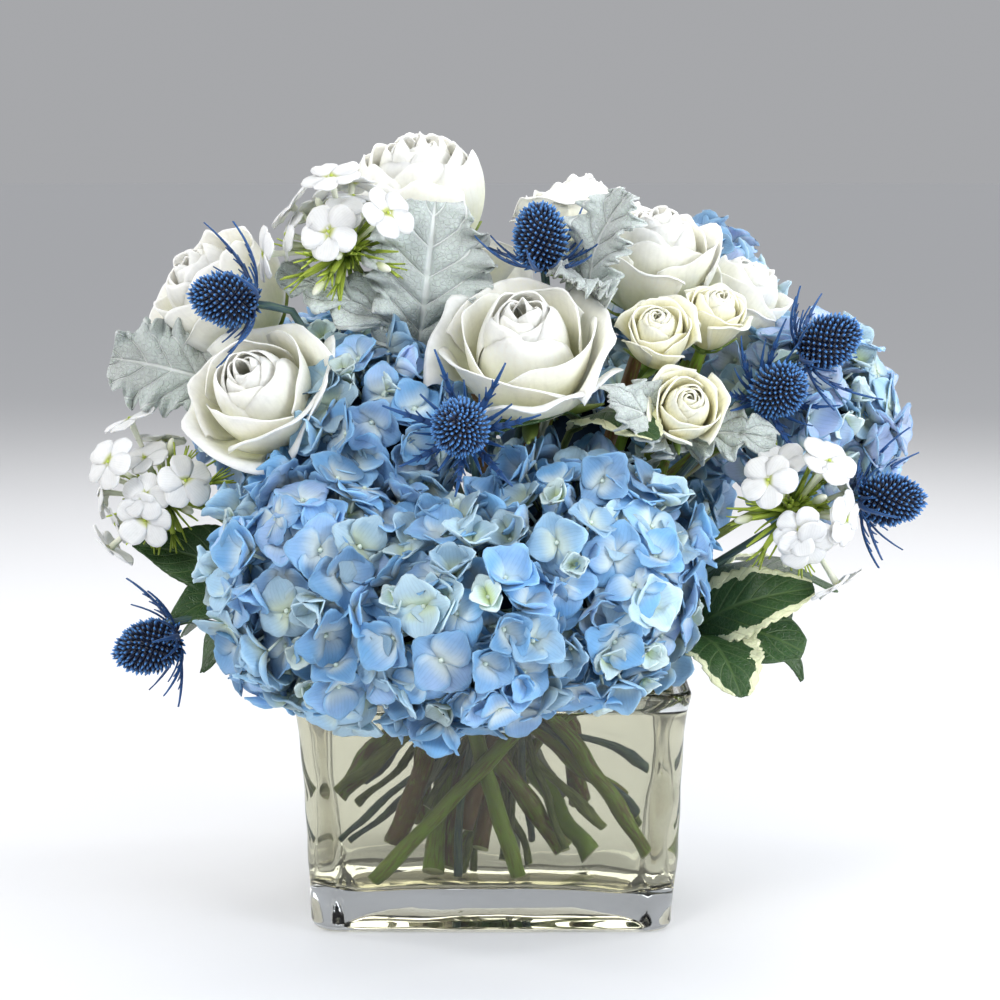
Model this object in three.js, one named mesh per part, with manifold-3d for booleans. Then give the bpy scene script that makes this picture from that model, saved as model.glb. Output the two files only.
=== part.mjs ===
// A low mixed bouquet standing in a clear rectangular glass vase: blue hydrangeas, white roses,
// cream spray roses, sea holly, white phlox, dusty miller and variegated leaves.
// Millimetres. +Z is up, +X is to the right and -Y is the front. The origin is the middle of the vase's
// foot, on the surface that it stands on.
import * as THREE from "three";
import Module from "manifold-3d";

const wasm = await Module();
wasm.setup();
const Solid = wasm.Manifold;

// ---------------------------------------------------------------- driving dimensions

const VASE = {
  height: 108,
  rimWidth: 174, // outside, along X
  rimDepth: 124, // outside, along Y
  footWidth: 160,
  footDepth: 112,
  wall: 5,
  floor: 15,
  corner: 13,
  footRound: 5,
  rimRound: 1.2,
};
const WATER_LEVEL = 98;
const GAP = 0.35; // clearance kept between neighbouring pieces
const STEM_GAP = 1.4; // clearance between two stems
const GOLDEN_ANGLE = Math.PI * (3 - Math.sqrt(5));

// Every bloom: the middle of its head, the reach of its petals and the way it faces.
const HYDRANGEAS = [
  { name: "hydrangea_front_left", at: [-65, -80, 158], reach: 57, faces: [-0.45, -0.85, 0.15], florets: 18 },
  { name: "hydrangea_front_right", at: [36, -79, 162], reach: 57, faces: [0.35, -0.85, 0.2], florets: 18 },
  { name: "hydrangea_front_low", at: [-10, -104, 150], reach: 50, faces: [0, -0.9, -0.3], florets: 13 },
  { name: "hydrangea_top_left", at: [-46, -52, 222], reach: 38, faces: [-0.15, -0.75, 0.6], florets: 9 },
  { name: "hydrangea_right", at: [137, 2, 220], reach: 46, faces: [0.8, -0.3, 0.3], florets: 13 },
  { name: "hydrangea_top_right", at: [90, 52, 267], reach: 41, faces: [0.55, 0.35, 0.75], florets: 11 },
  { name: "hydrangea_back_left", at: [-76, 64, 206], reach: 60, faces: [-0.5, 0.75, 0.3], florets: 16 },
  { name: "hydrangea_back_right", at: [54, 74, 188], reach: 62, faces: [0.3, 0.9, 0.1], florets: 17 },
];
const ROSES = [
  { name: "rose_top", at: [-32, -5, 323], reach: 42, faces: [-0.1, -0.3, 0.95], spin: 0.3 },
  { name: "rose_left", at: [-122, -10, 277], reach: 40, faces: [-0.62, -0.35, 0.7], spin: 1.2 },
  { name: "rose_front_left", at: [-98, -60, 238], reach: 37, faces: [-0.3, -0.72, 0.62], spin: 2.0 },
  { name: "rose_front", at: [14, -70, 258], reach: 42, faces: [-0.08, -0.6, 0.8], spin: 0.9 },
  { name: "rose_right", at: [71, -12, 295], reach: 37, faces: [0.1, -0.35, 0.93], spin: 2.6 },
  { name: "rose_back_top", at: [40, 42, 309], reach: 35, faces: [0.05, 0.15, 1], spin: 0.2 },
  { name: "rose_back_right", at: [112, 18, 274], reach: 32, faces: [0.6, -0.15, 0.78], spin: 1.7 },
  { name: "rose_back", at: [-16, 86, 268], reach: 38, faces: [-0.1, 0.75, 0.65], spin: 0.5 },
];
const SPRAY_ROSES = [
  { name: "spray_rose_left", at: [70, -62, 265], reach: 18, faces: [-0.05, -0.72, 0.68], spin: 0.4 },
  { name: "spray_rose_right", at: [96, -44, 272], reach: 16.5, faces: [0.25, -0.5, 0.83], spin: 1.5 },
  { name: "spray_rose_low", at: [81, -76, 234], reach: 19, faces: [0.1, -0.86, 0.48], spin: 2.2 },
];
const THISTLES = [
  { name: "thistle_left", at: [-109, -58, 277], faces: [-0.88, -0.4, 0.2] },
  { name: "thistle_top", at: [21, -50, 300], faces: [-0.1, -0.35, 0.92] },
  { name: "thistle_front", at: [-12, -115, 229], faces: [-0.12, -0.92, 0.3] },
  { name: "thistle_low_left", at: [-142, -70, 132], faces: [-0.9, -0.38, -0.22] },
  { name: "thistle_right", at: [120, -56, 238], faces: [0.35, -0.8, 0.4] },
  { name: "thistle_upper_right", at: [141, -42, 257], faces: [0.8, -0.3, 0.42] },
  { name: "thistle_far_right", at: [170, -34, 189], faces: [0.9, -0.38, 0.05] },
];
const PHLOXES = [
  { name: "phlox_left", at: [-142, -38, 190], faces: [-0.75, -0.6, 0.25], florets: 6, spread: 1.35 },
  { name: "phlox_top", at: [-62, -44, 297], faces: [-0.45, -0.4, 0.8], florets: 6, spread: 1.2 },
  { name: "phlox_right", at: [127, -60, 188], faces: [0.6, -0.75, 0.15], florets: 6, spread: 1.3 },
];
// Leaves share a stem where their roots meet. Each blade: its tip, the way its upper face looks, its width
// and its outline.
const LEAFY = [
  {
    name: "dusty_miller_centre",
    at: [-32, -32, 256],
    blades: [
      [[-24, -42, 318], [0.1, -0.95, 0.3], 58, "dusty"],
      [[-92, -40, 288], [0.2, -0.9, 0.4], 30, "lobed"],
    ],
  },
  {
    name: "dusty_miller_left",
    at: [-112, -22, 236],
    blades: [[[-166, -24, 250], [-0.1, -0.9, 0.3], 44, "dusty"]],
  },
  {
    name: "dusty_miller_top",
    at: [42, -40, 274],
    blades: [
      [[58, -48, 322], [-0.6, -0.7, 0.3], 36, "dusty"],
      [[32, -66, 286], [0.2, -0.4, 0.9], 30, "dusty"],
    ],
  },
  {
    name: "dusty_miller_right",
    at: [72, -38, 212],
    blades: [
      [[48, -94, 238], [0.3, -0.9, 0.4], 30, "dusty"],
      [[120, -64, 219], [-0.1, -0.8, 0.6], 30, "lobed"],
    ],
  },
  {
    name: "variegated_front",
    at: [38, -42, 222],
    blades: [
      [[68, -92, 222], [0.2, -0.75, 0.65], 34, "round"],
      [[2, -92, 224], [-0.3, -0.7, 0.6], 26, "pointed"],
    ],
  },
  {
    name: "variegated_right",
    at: [84, -40, 130],
    blades: [
      [[104, -92, 114], [0.35, -0.8, 0.5], 42, "round"],
      [[134, -58, 126], [0.3, -0.6, 0.75], 42, "round"],
      [[138, -58, 154], [0.2, -0.75, 0.6], 34, "dusty"],
    ],
  },
  {
    name: "leaves_left",
    at: [-96, -30, 146],
    blades: [
      [[-156, -40, 170], [-0.3, -0.7, 0.6], 34, "pointed"],
      [[-138, -66, 140], [-0.3, -0.8, 0.5], 32, "pointed"],
    ],
  },
  {
    name: "leaves_left_low",
    at: [-84, 8, 132],
    blades: [
      [[-142, 22, 118], [-0.6, 0.1, 0.8], 44, "round"],
      [[-128, -32, 112], [-0.6, -0.3, 0.75], 40, "pointed"],
    ],
  },
  {
    name: "leaves_right_low",
    at: [92, 2, 136],
    blades: [
      [[156, 12, 142], [0.5, 0, 0.85], 44, "round"],
      [[138, 48, 112], [0.6, 0.3, 0.75], 42, "pointed"],
      [[136, -34, 108], [0.6, -0.3, 0.75], 40, "pointed"],
    ],
  },
  {
    name: "leaves_back",
    at: [-6, 66, 128],
    blades: [
      [[-58, 104, 106], [-0.3, 0.7, 0.65], 40, "pointed"],
      [[2, 126, 98], [0, 0.75, 0.65], 44, "round"],
    ],
  },
  {
    name: "leaves_back_left",
    at: [-74, 50, 132],
    blades: [
      [[-134, 78, 118], [-0.6, 0.3, 0.75], 42, "pointed"],
      [[-104, 112, 128], [-0.4, 0.6, 0.7], 38, "round"],
    ],
  },
  {
    name: "leaves_back_right",
    at: [84, 44, 124],
    blades: [
      [[74, 112, 104], [0.3, 0.7, 0.65], 40, "round"],
      [[136, 92, 140], [0.5, 0.6, 0.6], 38, "pointed"],
    ],
  },
];
const STEM_RADII = { hydrangea: 4.4, rose: 3.4, spray: 2.8, thistle: 1.8, phlox: 2.1, leafy: 1.8 };
const THICK_STEM = 3; // a stem with a larger radius has five sides, the rest have four

// Each piece's colour and roughness.
const COLOURS = {
  glass: [0xdfe8e8, 0.05],
  water: [0xcfd6cf, 0.05],
  hydrangea: [0x8fb8e0, 0.7],
  rose: [0xf4f2e6, 0.6],
  spray_rose: [0xf3efc4, 0.6],
  thistle: [0x2f5f9f, 0.6],
  phlox: [0xf5f6f2, 0.6],
  dusty_miller: [0xb4bfbd, 0.85],
  leaf: [0x3c5a30, 0.5],
  stem: [0x5f7a34, 0.6],
};

// ---------------------------------------------------------------- small helpers

const vector = (a) => new THREE.Vector3(...a);
const unit = (a) => vector(a).normalize();

// A repeatable draw between 0 and 1 for each seed (Mulberry32).
function draw(seed) {
  let t = (seed + 0x6d2b79f5) | 0;
  t = Math.imul(t ^ (t >>> 15), t | 1);
  t ^= t + Math.imul(t ^ (t >>> 7), t | 61);
  return ((t ^ (t >>> 14)) >>> 0) / 4294967296;
}

// A closed solid from its corners and faces.
function solid(corners, faces) {
  const made = new Solid(
    new wasm.Mesh({
      numProp: 3,
      vertProperties: new Float32Array(corners.flatMap((p) => [p.x, p.y, p.z])),
      triVerts: new Uint32Array(faces.flat()),
    }),
  );
  return made.volume() < 0 ? solid(corners, faces.map(([a, b, c]) => [a, c, b])) : made;
}

// Rings of equally many points, joined in order, with a point closing each end. In a sheet, the second half
// of each ring lies under the first, and its quads take the mirrored diagonal, so the two sides never cross.
function loft(start, rings, end, sheet = false) {
  const n = rings[0].length;
  const corners = [start, ...rings.flat(), end];
  const last = corners.length - 1;
  const faces = [];
  for (let j = 0; j < n; j++) {
    const k = (j + 1) % n;
    faces.push([0, 1 + k, 1 + j]);
    for (let i = 0; i < rings.length - 1; i++) {
      const a = 1 + i * n;
      const b = a + n;
      if (sheet && j >= n / 2) faces.push([a + j, a + k, b + j], [a + k, b + k, b + j]);
      else faces.push([a + j, a + k, b + k], [a + j, b + k, b + j]);
    }
    faces.push([last, 1 + (rings.length - 1) * n + j, 1 + (rings.length - 1) * n + k]);
  }
  return solid(corners, faces);
}

// The matrix that carries local +Z to the facing direction, turned about it, at a place.
function placing(at, faces, spin = 0) {
  const turn = new THREE.Quaternion().setFromUnitVectors(new THREE.Vector3(0, 0, 1), unit(faces));
  turn.multiply(new THREE.Quaternion().setFromAxisAngle(new THREE.Vector3(0, 0, 1), spin));
  return new THREE.Matrix4().compose(vector(at), turn, new THREE.Vector3(1, 1, 1));
}

const placed = (made, matrix) => made.transform(matrix.toArray());

// The largest connected body of a solid, so that a loose scrap is dropped.
function largest(made) {
  const bodies = made.simplify(0.05).decompose();
  return bodies.reduce((best, b) => (b.volume() > best.volume() ? b : best));
}

// True where the boxes of two solids meet.
function near(a, b) {
  const p = a.boundingBox();
  const q = b.boundingBox();
  return [0, 1, 2].every((i) => p.min[i] <= q.max[i] && q.min[i] <= p.max[i]);
}

const cutBy = (made, cutters) =>
  cutters.filter((c) => near(made, c)).reduce((rest, c) => rest.subtract(c), made);

// ---------------------------------------------------------------- vase and water

// The vase's rounded rectangle at a height, moved in from the outside by an inset.
function vaseOutline(z, inset) {
  const pointsPerCorner = 4;
  const t = z / VASE.height;
  const halfX = (VASE.footWidth + (VASE.rimWidth - VASE.footWidth) * t) / 2 - inset;
  const halfY = (VASE.footDepth + (VASE.rimDepth - VASE.footDepth) * t) / 2 - inset;
  const radius = Math.max(VASE.corner - inset, 3);
  const points = [];
  for (let corner = 0; corner < 4; corner++) {
    const sx = corner === 0 || corner === 3 ? 1 : -1;
    const sy = corner < 2 ? 1 : -1;
    for (let i = 0; i < pointsPerCorner; i++) {
      const angle = (Math.PI / 2) * (corner + i / (pointsPerCorner - 1));
      const x = sx * (halfX - radius) + radius * Math.cos(angle);
      const y = sy * (halfY - radius) + radius * Math.sin(angle);
      points.push(new THREE.Vector3(x, y, z));
    }
  }
  return points;
}

// A thick-floored glass box with straight walls that lean out, a softened foot and a rounded rim.
function makeVase() {
  const { height, wall, floor, footRound, rimRound } = VASE;
  const rings = [
    vaseOutline(0, footRound),
    vaseOutline(footRound * 0.3, footRound * 0.3),
    vaseOutline(footRound, 0),
    vaseOutline(height - rimRound, 0),
    vaseOutline(height, rimRound),
    vaseOutline(height, wall - rimRound),
    vaseOutline(height - rimRound, wall),
    vaseOutline(floor, wall),
  ];
  return loft(new THREE.Vector3(0, 0, 0), rings, new THREE.Vector3(0, 0, floor));
}

// The whole space that the vase takes up, grown by the gap, for cutting what leans on it.
function vaseBlock() {
  const rings = [vaseOutline(-1, -GAP), vaseOutline(VASE.height + GAP, -GAP)];
  return loft(new THREE.Vector3(0, 0, -1), rings, new THREE.Vector3(0, 0, VASE.height + GAP));
}

function makeWater(stemCutters) {
  const low = VASE.floor + GAP;
  const inset = VASE.wall + GAP;
  const rings = [vaseOutline(low, inset), vaseOutline(WATER_LEVEL, inset)];
  const block = loft(new THREE.Vector3(0, 0, low), rings, new THREE.Vector3(0, 0, WATER_LEVEL));
  return cutBy(block, stemCutters);
}

// ---------------------------------------------------------------- stems

const NECK_HEIGHT = VASE.height + 10;
const FREE_POINTS = 3; // the foot, neck and middle of a stem's five points; the last two lead into its head
const BEND_ROUNDS = 220;
const HEAD_MIDDLE = 0.66; // the share of a head that other stems go round

// A point held inside the vase's walls at its height, or above the rim once it is outside them.
function heldByVase(p, radius) {
  const t = Math.min(p.z, VASE.height) / VASE.height;
  const room = VASE.wall + radius + 2.5; // off the glass by a little more than a stem's gap
  const halfX = (VASE.footWidth + (VASE.rimWidth - VASE.footWidth) * t) / 2 - room;
  const halfY = (VASE.footDepth + (VASE.rimDepth - VASE.footDepth) * t) / 2 - room;
  if (p.z > NECK_HEIGHT + 1) return;
  p.x = THREE.MathUtils.clamp(p.x, -halfX, halfX);
  p.y = THREE.MathUtils.clamp(p.y, -halfY, halfY);
}

// A stem's first course: a foot across the vase from its head, the neck, a middle point and the way into
// the head.
function firstCourse(stem, index) {
  const head = vector(stem.at);
  const faces = unit(stem.faces);
  const end = head.clone().addScaledVector(faces, -stem.depth);
  const behind = head.clone().addScaledVector(faces, -stem.depth - stem.straight);
  const swing = (k) => draw(index * 7 + k) - 0.5;
  const foot = new THREE.Vector3(
    -0.42 * head.x + 34 * swing(1),
    -0.3 * head.y + 26 * swing(2),
    VASE.floor + 6 + 34 * draw(index * 7 + 3) ** 1.6,
  );
  const neck = new THREE.Vector3(0.2 * head.x + 16 * swing(4), 0.2 * head.y + 14 * swing(5), NECK_HEIGHT);
  behind.z = Math.max(behind.z, VASE.height + stem.radius + 8);
  heldByVase(foot, stem.radius);
  return [foot, neck, neck.clone().lerp(behind, 0.52), behind, end];
}

// The closest points of two segments, as shares along each.
function closestShares(p, q, r, s) {
  const d1 = q.clone().sub(p);
  const d2 = s.clone().sub(r);
  const w = p.clone().sub(r);
  const a = d1.dot(d1);
  const e = d2.dot(d2);
  const b = d1.dot(d2);
  const c = d1.dot(w);
  const f = d2.dot(w);
  const bottom = a * e - b * b;
  const clamp = (x) => THREE.MathUtils.clamp(x, 0, 1);
  let u = bottom > 1e-9 ? clamp((b * f - c * e) / bottom) : 0.5;
  const v = clamp((b * u + f) / e);
  u = clamp((b * v - c) / a);
  return [u, v];
}

// A stem's free points moved out of the dense middle of any head that isn't its own.
function bendRoundHeads(stem, heads) {
  for (const head of heads) {
    if (head.name === stem.plant.name) continue;
    const centre = vector(head.at);
    for (let i = 1; i < FREE_POINTS; i++) {
      const [p, q] = [stem.course[i], stem.course[i + 1]];
      const line = new THREE.Line3(p, q);
      const share = line.closestPointToPointParameter(centre, true);
      const away = line.at(share, new THREE.Vector3()).sub(centre);
      const lack = HEAD_MIDDLE * head.reach + stem.radius - away.length();
      if (lack <= 0) continue;
      away.normalize().multiplyScalar(lack * 0.5);
      p.addScaledVector(away, 1 - share);
      if (i + 1 < FREE_POINTS) q.addScaledVector(away, share);
    }
  }
}

// Stems that would cross are bent clear of each other, a little in each round; heads stay where they are.
function bendClear(stems) {
  const free = (i) => i < FREE_POINTS;
  const pairs = Array.from({ length: FREE_POINTS + 1 }, (_, i) => i);
  for (let round = 0; round < BEND_ROUNDS; round++) {
    const easing = round < BEND_ROUNDS * 0.7 ? 0.06 : 0;
    for (const stem of stems)
      for (let i = 2; i < FREE_POINTS; i++) {
        const middle = stem.course[i - 1].clone().add(stem.course[i + 1]).multiplyScalar(0.5);
        stem.course[i].lerp(middle, easing);
      }
    if (easing > 0) for (const stem of stems) bendRoundHeads(stem, [...HYDRANGEAS, ...ROSES]);
    stems.forEach((one, index) => {
      for (const other of stems.slice(index + 1)) {
        const clear = one.radius + other.radius + STEM_GAP;
        for (const i of pairs)
          for (const j of pairs) {
            const [p, q, r, s] = [one.course[i], one.course[i + 1], other.course[j], other.course[j + 1]];
            const [u, v] = closestShares(p, q, r, s);
            const away = p.clone().lerp(q, u).sub(r.clone().lerp(s, v));
            const lack = clear - away.length();
            if (lack <= 0) continue;
            if (away.length() < 1e-3) away.set(1, 0.3, 0);
            away.normalize().multiplyScalar(lack * 0.5);
            if (free(i)) p.addScaledVector(away, 1 - u);
            if (free(i + 1)) q.addScaledVector(away, u);
            if (free(j)) r.addScaledVector(away, v - 1);
            if (free(j + 1)) s.addScaledVector(away, -v);
          }
      }
      for (const p of one.course.slice(0, FREE_POINTS)) {
        if (p === one.course[0]) p.z = THREE.MathUtils.clamp(p.z, VASE.floor + one.radius + 1, 60);
        else p.z = Math.max(p.z, p === one.course[1] ? NECK_HEIGHT - 2 : VASE.height + one.radius + 3);
        heldByVase(p, one.radius);
      }
    });
  }
}

// A round rod along a stem's course.
function rod(course, radius) {
  const sides = radius > THICK_STEM ? 5 : 4;
  const rings = course.map((p, i) => {
    const before = course[Math.max(i - 1, 0)];
    const after = course[Math.min(i + 1, course.length - 1)];
    const along = after.clone().sub(before).normalize();
    const across = new THREE.Vector3(0.31, 0.95, 0.02).cross(along).normalize();
    const third = along.clone().cross(across);
    return Array.from({ length: sides }, (_, j) => {
      const angle = (2 * Math.PI * j) / sides;
      const ring = across.clone().multiplyScalar(radius * Math.cos(angle));
      return ring.addScaledVector(third, radius * Math.sin(angle)).add(p);
    });
  });
  return loft(course[0].clone(), rings, course[course.length - 1].clone());
}

// ---------------------------------------------------------------- blooms, each with local +Z facing out

const LOBE = [[0.42, -0.5], [1, -0.27], [0.97, 0.27]];
const FLAT_SHARE = 0.2; // how much of its cup a floret has where its lobes aren't at their widest
const NECK_DROP = 0.14; // how far the neck is below the floret's middle, as a share of its radius

// A flat flower: a fan of faces above, and an underside that draws in to a neck with a sunk root. A lobe's
// outline starts at the notch before it, each point a share of the radius and of the lobe's turn. Grown, it
// keeps that clearance on every side.
function lobedFloret({ radius, lobes, cup, dish, neck, lobe }, size, rootDepth, grown = 0) {
  const step = (2 * Math.PI) / lobes;
  const polar = (r, angle, z) => new THREE.Vector3(r * Math.cos(angle), r * Math.sin(angle), z);
  const reach = radius * size;
  const rim = (lift) =>
    Array.from({ length: lobes }, (_, k) =>
      lobe.map(([share, turn]) => {
        const z = share === 1 ? cup * reach : FLAT_SHARE * cup * reach;
        return polar(share * reach + grown, (k + turn) * step, z + lift);
      }),
    ).flat();
  const necks = Array.from({ length: lobes }, (_, k) =>
    polar(neck * reach + grown, (k - 0.5) * step, -(dish + NECK_DROP) * reach),
  );
  const middle = new THREE.Vector3(0, 0, grown - dish * reach);
  const root = new THREE.Vector3(0, 0, -rootDepth - grown);
  const upper = rim(grown);
  const corners = [middle, ...upper, ...(grown > 0 ? rim(-grown) : []), ...necks, root];
  const [points, last] = [upper.length, corners.length - 1];
  const top = (j) => 1 + (j % points);
  const under = (j) => top(j) + (grown > 0 ? points : 0);
  const low = (k) => last - lobes + (k % lobes);
  const faces = [];
  for (let k = 0; k < lobes; k++) {
    const notch = k * lobe.length;
    faces.push([low(k), under(notch + 1), under(notch)], [low(k), low(k + 1), under(notch + 1)]);
    for (let j = notch + 1; j < notch + lobe.length; j++) faces.push([low(k + 1), under(j + 1), under(j)]);
    faces.push([last, low(k + 1), low(k)]);
  }
  for (let j = 0; j < points; j++) {
    faces.push([0, top(j), top(j + 1)]);
    if (grown > 0) faces.push([top(j), under(j), under(j + 1)], [top(j), under(j + 1), top(j + 1)]);
  }
  return solid(corners, faces);
}

const ball = (radius, detail = 1) => {
  const geometry = new THREE.IcosahedronGeometry(radius, detail);
  const found = new Map();
  const corners = [];
  const p = geometry.getAttribute("position");
  const order = Array.from({ length: p.count }, (_, i) => {
    const point = new THREE.Vector3().fromBufferAttribute(p, i);
    const key = point.toArray().map((x) => Math.round(x * 1e4)).join();
    if (!found.has(key)) {
      found.set(key, corners.length);
      corners.push(point);
    }
    return found.get(key);
  });
  return solid(corners, Array.from({ length: order.length / 3 }, (_, f) => order.slice(f * 3, f * 3 + 3)));
};

const HYDRANGEA_FLORET = { radius: 20.5, lobes: 4, cup: 0.16, dish: 0.08, neck: 0.13, lobe: LOBE };
const CORE_SHARE = 0.72; // the core's radius as a share of the head's reach
const CORE_BACK = CORE_SHARE * Math.sin(Math.atan((1 + Math.sqrt(5)) / 2)); // the middle of its rear edge
const HEAD_WRAP = THREE.MathUtils.degToRad(112); // how far round from the middle of its face the florets go

// A mophead: four-lobed florets all over the side that faces out, on a smaller round core.
function hydrangeaParts({ reach, florets }, index) {
  const parts = [ball(reach * CORE_SHARE, 0)];
  const lowest = Math.cos(HEAD_WRAP);
  for (let i = 0; i < florets; i++) {
    const up = 1 - ((i + 0.5) / florets) * (1 - lowest);
    const around = i * GOLDEN_ANGLE;
    const flat = Math.sqrt(1 - up * up);
    const towards = [flat * Math.cos(around), flat * Math.sin(around), up];
    const random = (k) => draw(index * 1000 + i * 5 + k);
    const distance = reach * (0.91 + 0.06 * random(1));
    const lean = towards.map((c, axis) => c + 0.3 * (random(2 + axis) - 0.5));
    const at = towards.map((c) => c * distance);
    const floret = lobedFloret(HYDRANGEA_FLORET, 0.93 + 0.14 * random(6), reach * 0.42);
    parts.push(placed(floret, placing(at, lean, 6 * random(7))));
  }
  return parts;
}

// Nested rings of overlapping petals as one folded surface. Each layer gives its rim's radius and height and
// the radius and height of the valley inside it, as shares of the bloom's reach. Along a rim each petal
// starts inside its neighbour and ends outside it.
function layeredBloom({ reach, spin }, base, petals, layers) {
  const perPetal = 3;
  const ring = (radius, height, shift, ruffle = 0) =>
    Array.from({ length: petals * perPetal }, (_, j) => {
      const place = j + shift;
      const t = (place % perPetal) / (perPetal - 1);
      const turn = Math.floor(place / perPetal) + 0.78 * t - shift / perPetal;
      const angle = spin + (2 * Math.PI * turn) / petals;
      const r = radius * reach * (0.86 + 0.17 * t + 0.06 * Math.sin(Math.PI * t));
      const z = reach * (height + ruffle * (Math.sin(Math.PI * t) - 0.4));
      return new THREE.Vector3(r * Math.cos(angle), r * Math.sin(angle), z);
    });
  const [, firstRim] = layers[0];
  const rise = firstRim - base;
  // The rounded cup that the outer petals make below their rims.
  const rings = [ring(0.4, base + 0.14 * rise, 0), ring(0.9, base + 0.56 * rise, 0)];
  layers.forEach(([rim, rimHeight, valley, valleyHeight], i) => {
    rings.push(ring(rim, rimHeight, 2 * i, 0.14 * rim));
    if (valley > 0) rings.push(ring(valley, valleyHeight, 2 * i + 1));
  });
  const middle = layers[layers.length - 1][3];
  return loft(new THREE.Vector3(0, 0, base * reach), rings, new THREE.Vector3(0, 0, middle * reach));
}

const ROSE_DEPTH = 0.82; // from the middle of a bloom to its base, as a share of its reach
const SPRAY_DEPTH = 1.25;

// A rose: four rings of petals, each smaller, steeper and higher than the last.
const roseParts = (bloom) => [
  layeredBloom(bloom, -ROSE_DEPTH, 5, [
    [1, 0.0, 0.64, -0.24],
    [0.77, 0.28, 0.44, 0.06],
    [0.52, 0.44, 0.24, 0.22],
    [0.28, 0.5, 0, 0.34],
  ]),
];

const sprayRoseParts = (bloom) => [
  layeredBloom(bloom, -SPRAY_DEPTH, 4, [
    [1, 0.1, 0.6, -0.1],
    [0.72, 0.36, 0.36, 0.14],
    [0.38, 0.48, 0, 0.34],
  ]),
];

const CONE_LENGTH = 27;
const CONE_RADIUS = 9.5;
const BRACTS = 7;
const CONE_ROWS = 5;

// A three-sided spike from a sunk base to its tip.
function spike(base, tip, width, thickness) {
  const along = tip.clone().sub(base).normalize();
  const side = new THREE.Vector3(0, 0, 1).cross(along);
  if (side.length() < 0.1) side.set(1, 0, 0);
  side.normalize().multiplyScalar(width / 2);
  const up = along.clone().cross(side).normalize().multiplyScalar(thickness);
  const middle = base.clone().addScaledVector(up, -0.33);
  const corners = [middle.clone().add(side), middle.clone().sub(side), middle.clone().add(up), tip];
  return solid(corners, [[0, 1, 2], [0, 3, 1], [1, 3, 2], [2, 3, 0]]);
}

// A sea holly as one surface: a stalk's end, a star of narrow bracts with side spines, and above it a
// knobbled cone. Grown, it keeps that clearance on every side.
function thistleParts(_, index, grown = 0) {
  const ringHeight = -0.34 * CONE_LENGTH;
  const outline = [[0.62, -0.34], [0.5, -0.1], [1, 0], [0.5, 0.12]]; // reach and turn of a bract's points
  const polar = (r, angle, z) => new THREE.Vector3(r * Math.cos(angle), r * Math.sin(angle), z);
  const star = (rise) =>
    Array.from({ length: BRACTS }, (_bract, k) => {
      const random = (n) => draw(5000 + index * 100 + k * 7 + n);
      const angle = (2 * Math.PI * k) / BRACTS;
      const length = 22 + 9 * random(3);
      const lift = 0.5 * random(2) - 0.1;
      const aim = angle + 0.2 * (random(1) - 0.5);
      const notch = polar(6.8 + grown, angle - Math.PI / BRACTS, ringHeight + 1.5 * rise);
      const outer = outline.map(([share, turn]) => {
        const r = share * length + (share === 1 ? 3 : 1.5) * grown;
        const z = ringHeight + share * share * length * lift + 1.5 * rise;
        return polar(r, aim + turn + (1.5 * Math.sign(turn) * grown) / r, z);
      });
      return [notch, ...outer];
    }).flat();
  const knobs = Array.from({ length: CONE_ROWS * BRACTS }, (_knob, n) => {
    const [i, j] = [Math.floor(n / BRACTS), n % BRACTS];
    const t = (i + 0.3) / CONE_ROWS;
    const angle = (2 * Math.PI * (j + 0.5 * (i % 2))) / BRACTS;
    const wide = CONE_RADIUS * Math.sin(Math.PI * (0.14 + 0.8 * t)) ** 0.75;
    const r = wide * (0.9 + 0.24 * draw(700 + n)) + grown;
    return polar(r, angle, CONE_LENGTH * (t - 0.36) + grown);
  });
  const base = new THREE.Vector3(0, 0, ringHeight - 4 - grown);
  const crown = new THREE.Vector3(0, 0, 0.62 * CONE_LENGTH + 2 * grown);
  const corners = [base, ...star(grown), ...(grown > 0 ? star(-grown) : []), ...knobs, crown];
  const perBract = outline.length + 1;
  const points = BRACTS * perBract;
  const last = corners.length - 1;
  const top = (j) => 1 + (j % points);
  const under = (j) => top(j) + (grown > 0 ? points : 0);
  const knob = (i, j) => last - knobs.length + i * BRACTS + (j % BRACTS);
  const faces = [];
  for (let j = 0; j < points; j++) {
    faces.push([0, under(j + 1), under(j)], [knob(0, Math.floor(j / perBract)), top(j), top(j + 1)]);
    if (grown > 0) faces.push([top(j), under(j), under(j + 1)], [top(j), under(j + 1), top(j + 1)]);
  }
  for (let k = 0; k < BRACTS; k++) {
    faces.push([knob(0, k), top((k + 1) * perBract), knob(0, k + 1)]);
    for (let i = 0; i < CONE_ROWS - 1; i++) {
      const [a, b, c, d] = [knob(i, k), knob(i, k + 1), knob(i + 1, k), knob(i + 1, k + 1)];
      faces.push(...(i % 2 ? [[a, b, d], [a, d, c]] : [[a, b, c], [b, d, c]]));
    }
    faces.push([knob(CONE_ROWS - 1, k), knob(CONE_ROWS - 1, k + 1), last]);
  }
  return [solid(corners, faces)];
}

const PHLOX_FLORET = { radius: 12.5, lobes: 5, cup: 0.08, dish: 0.06, neck: 0.14, lobe: LOBE };
const PHLOX_TUBE = 30;
const PHLOX_SPIKES = 7;

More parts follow.
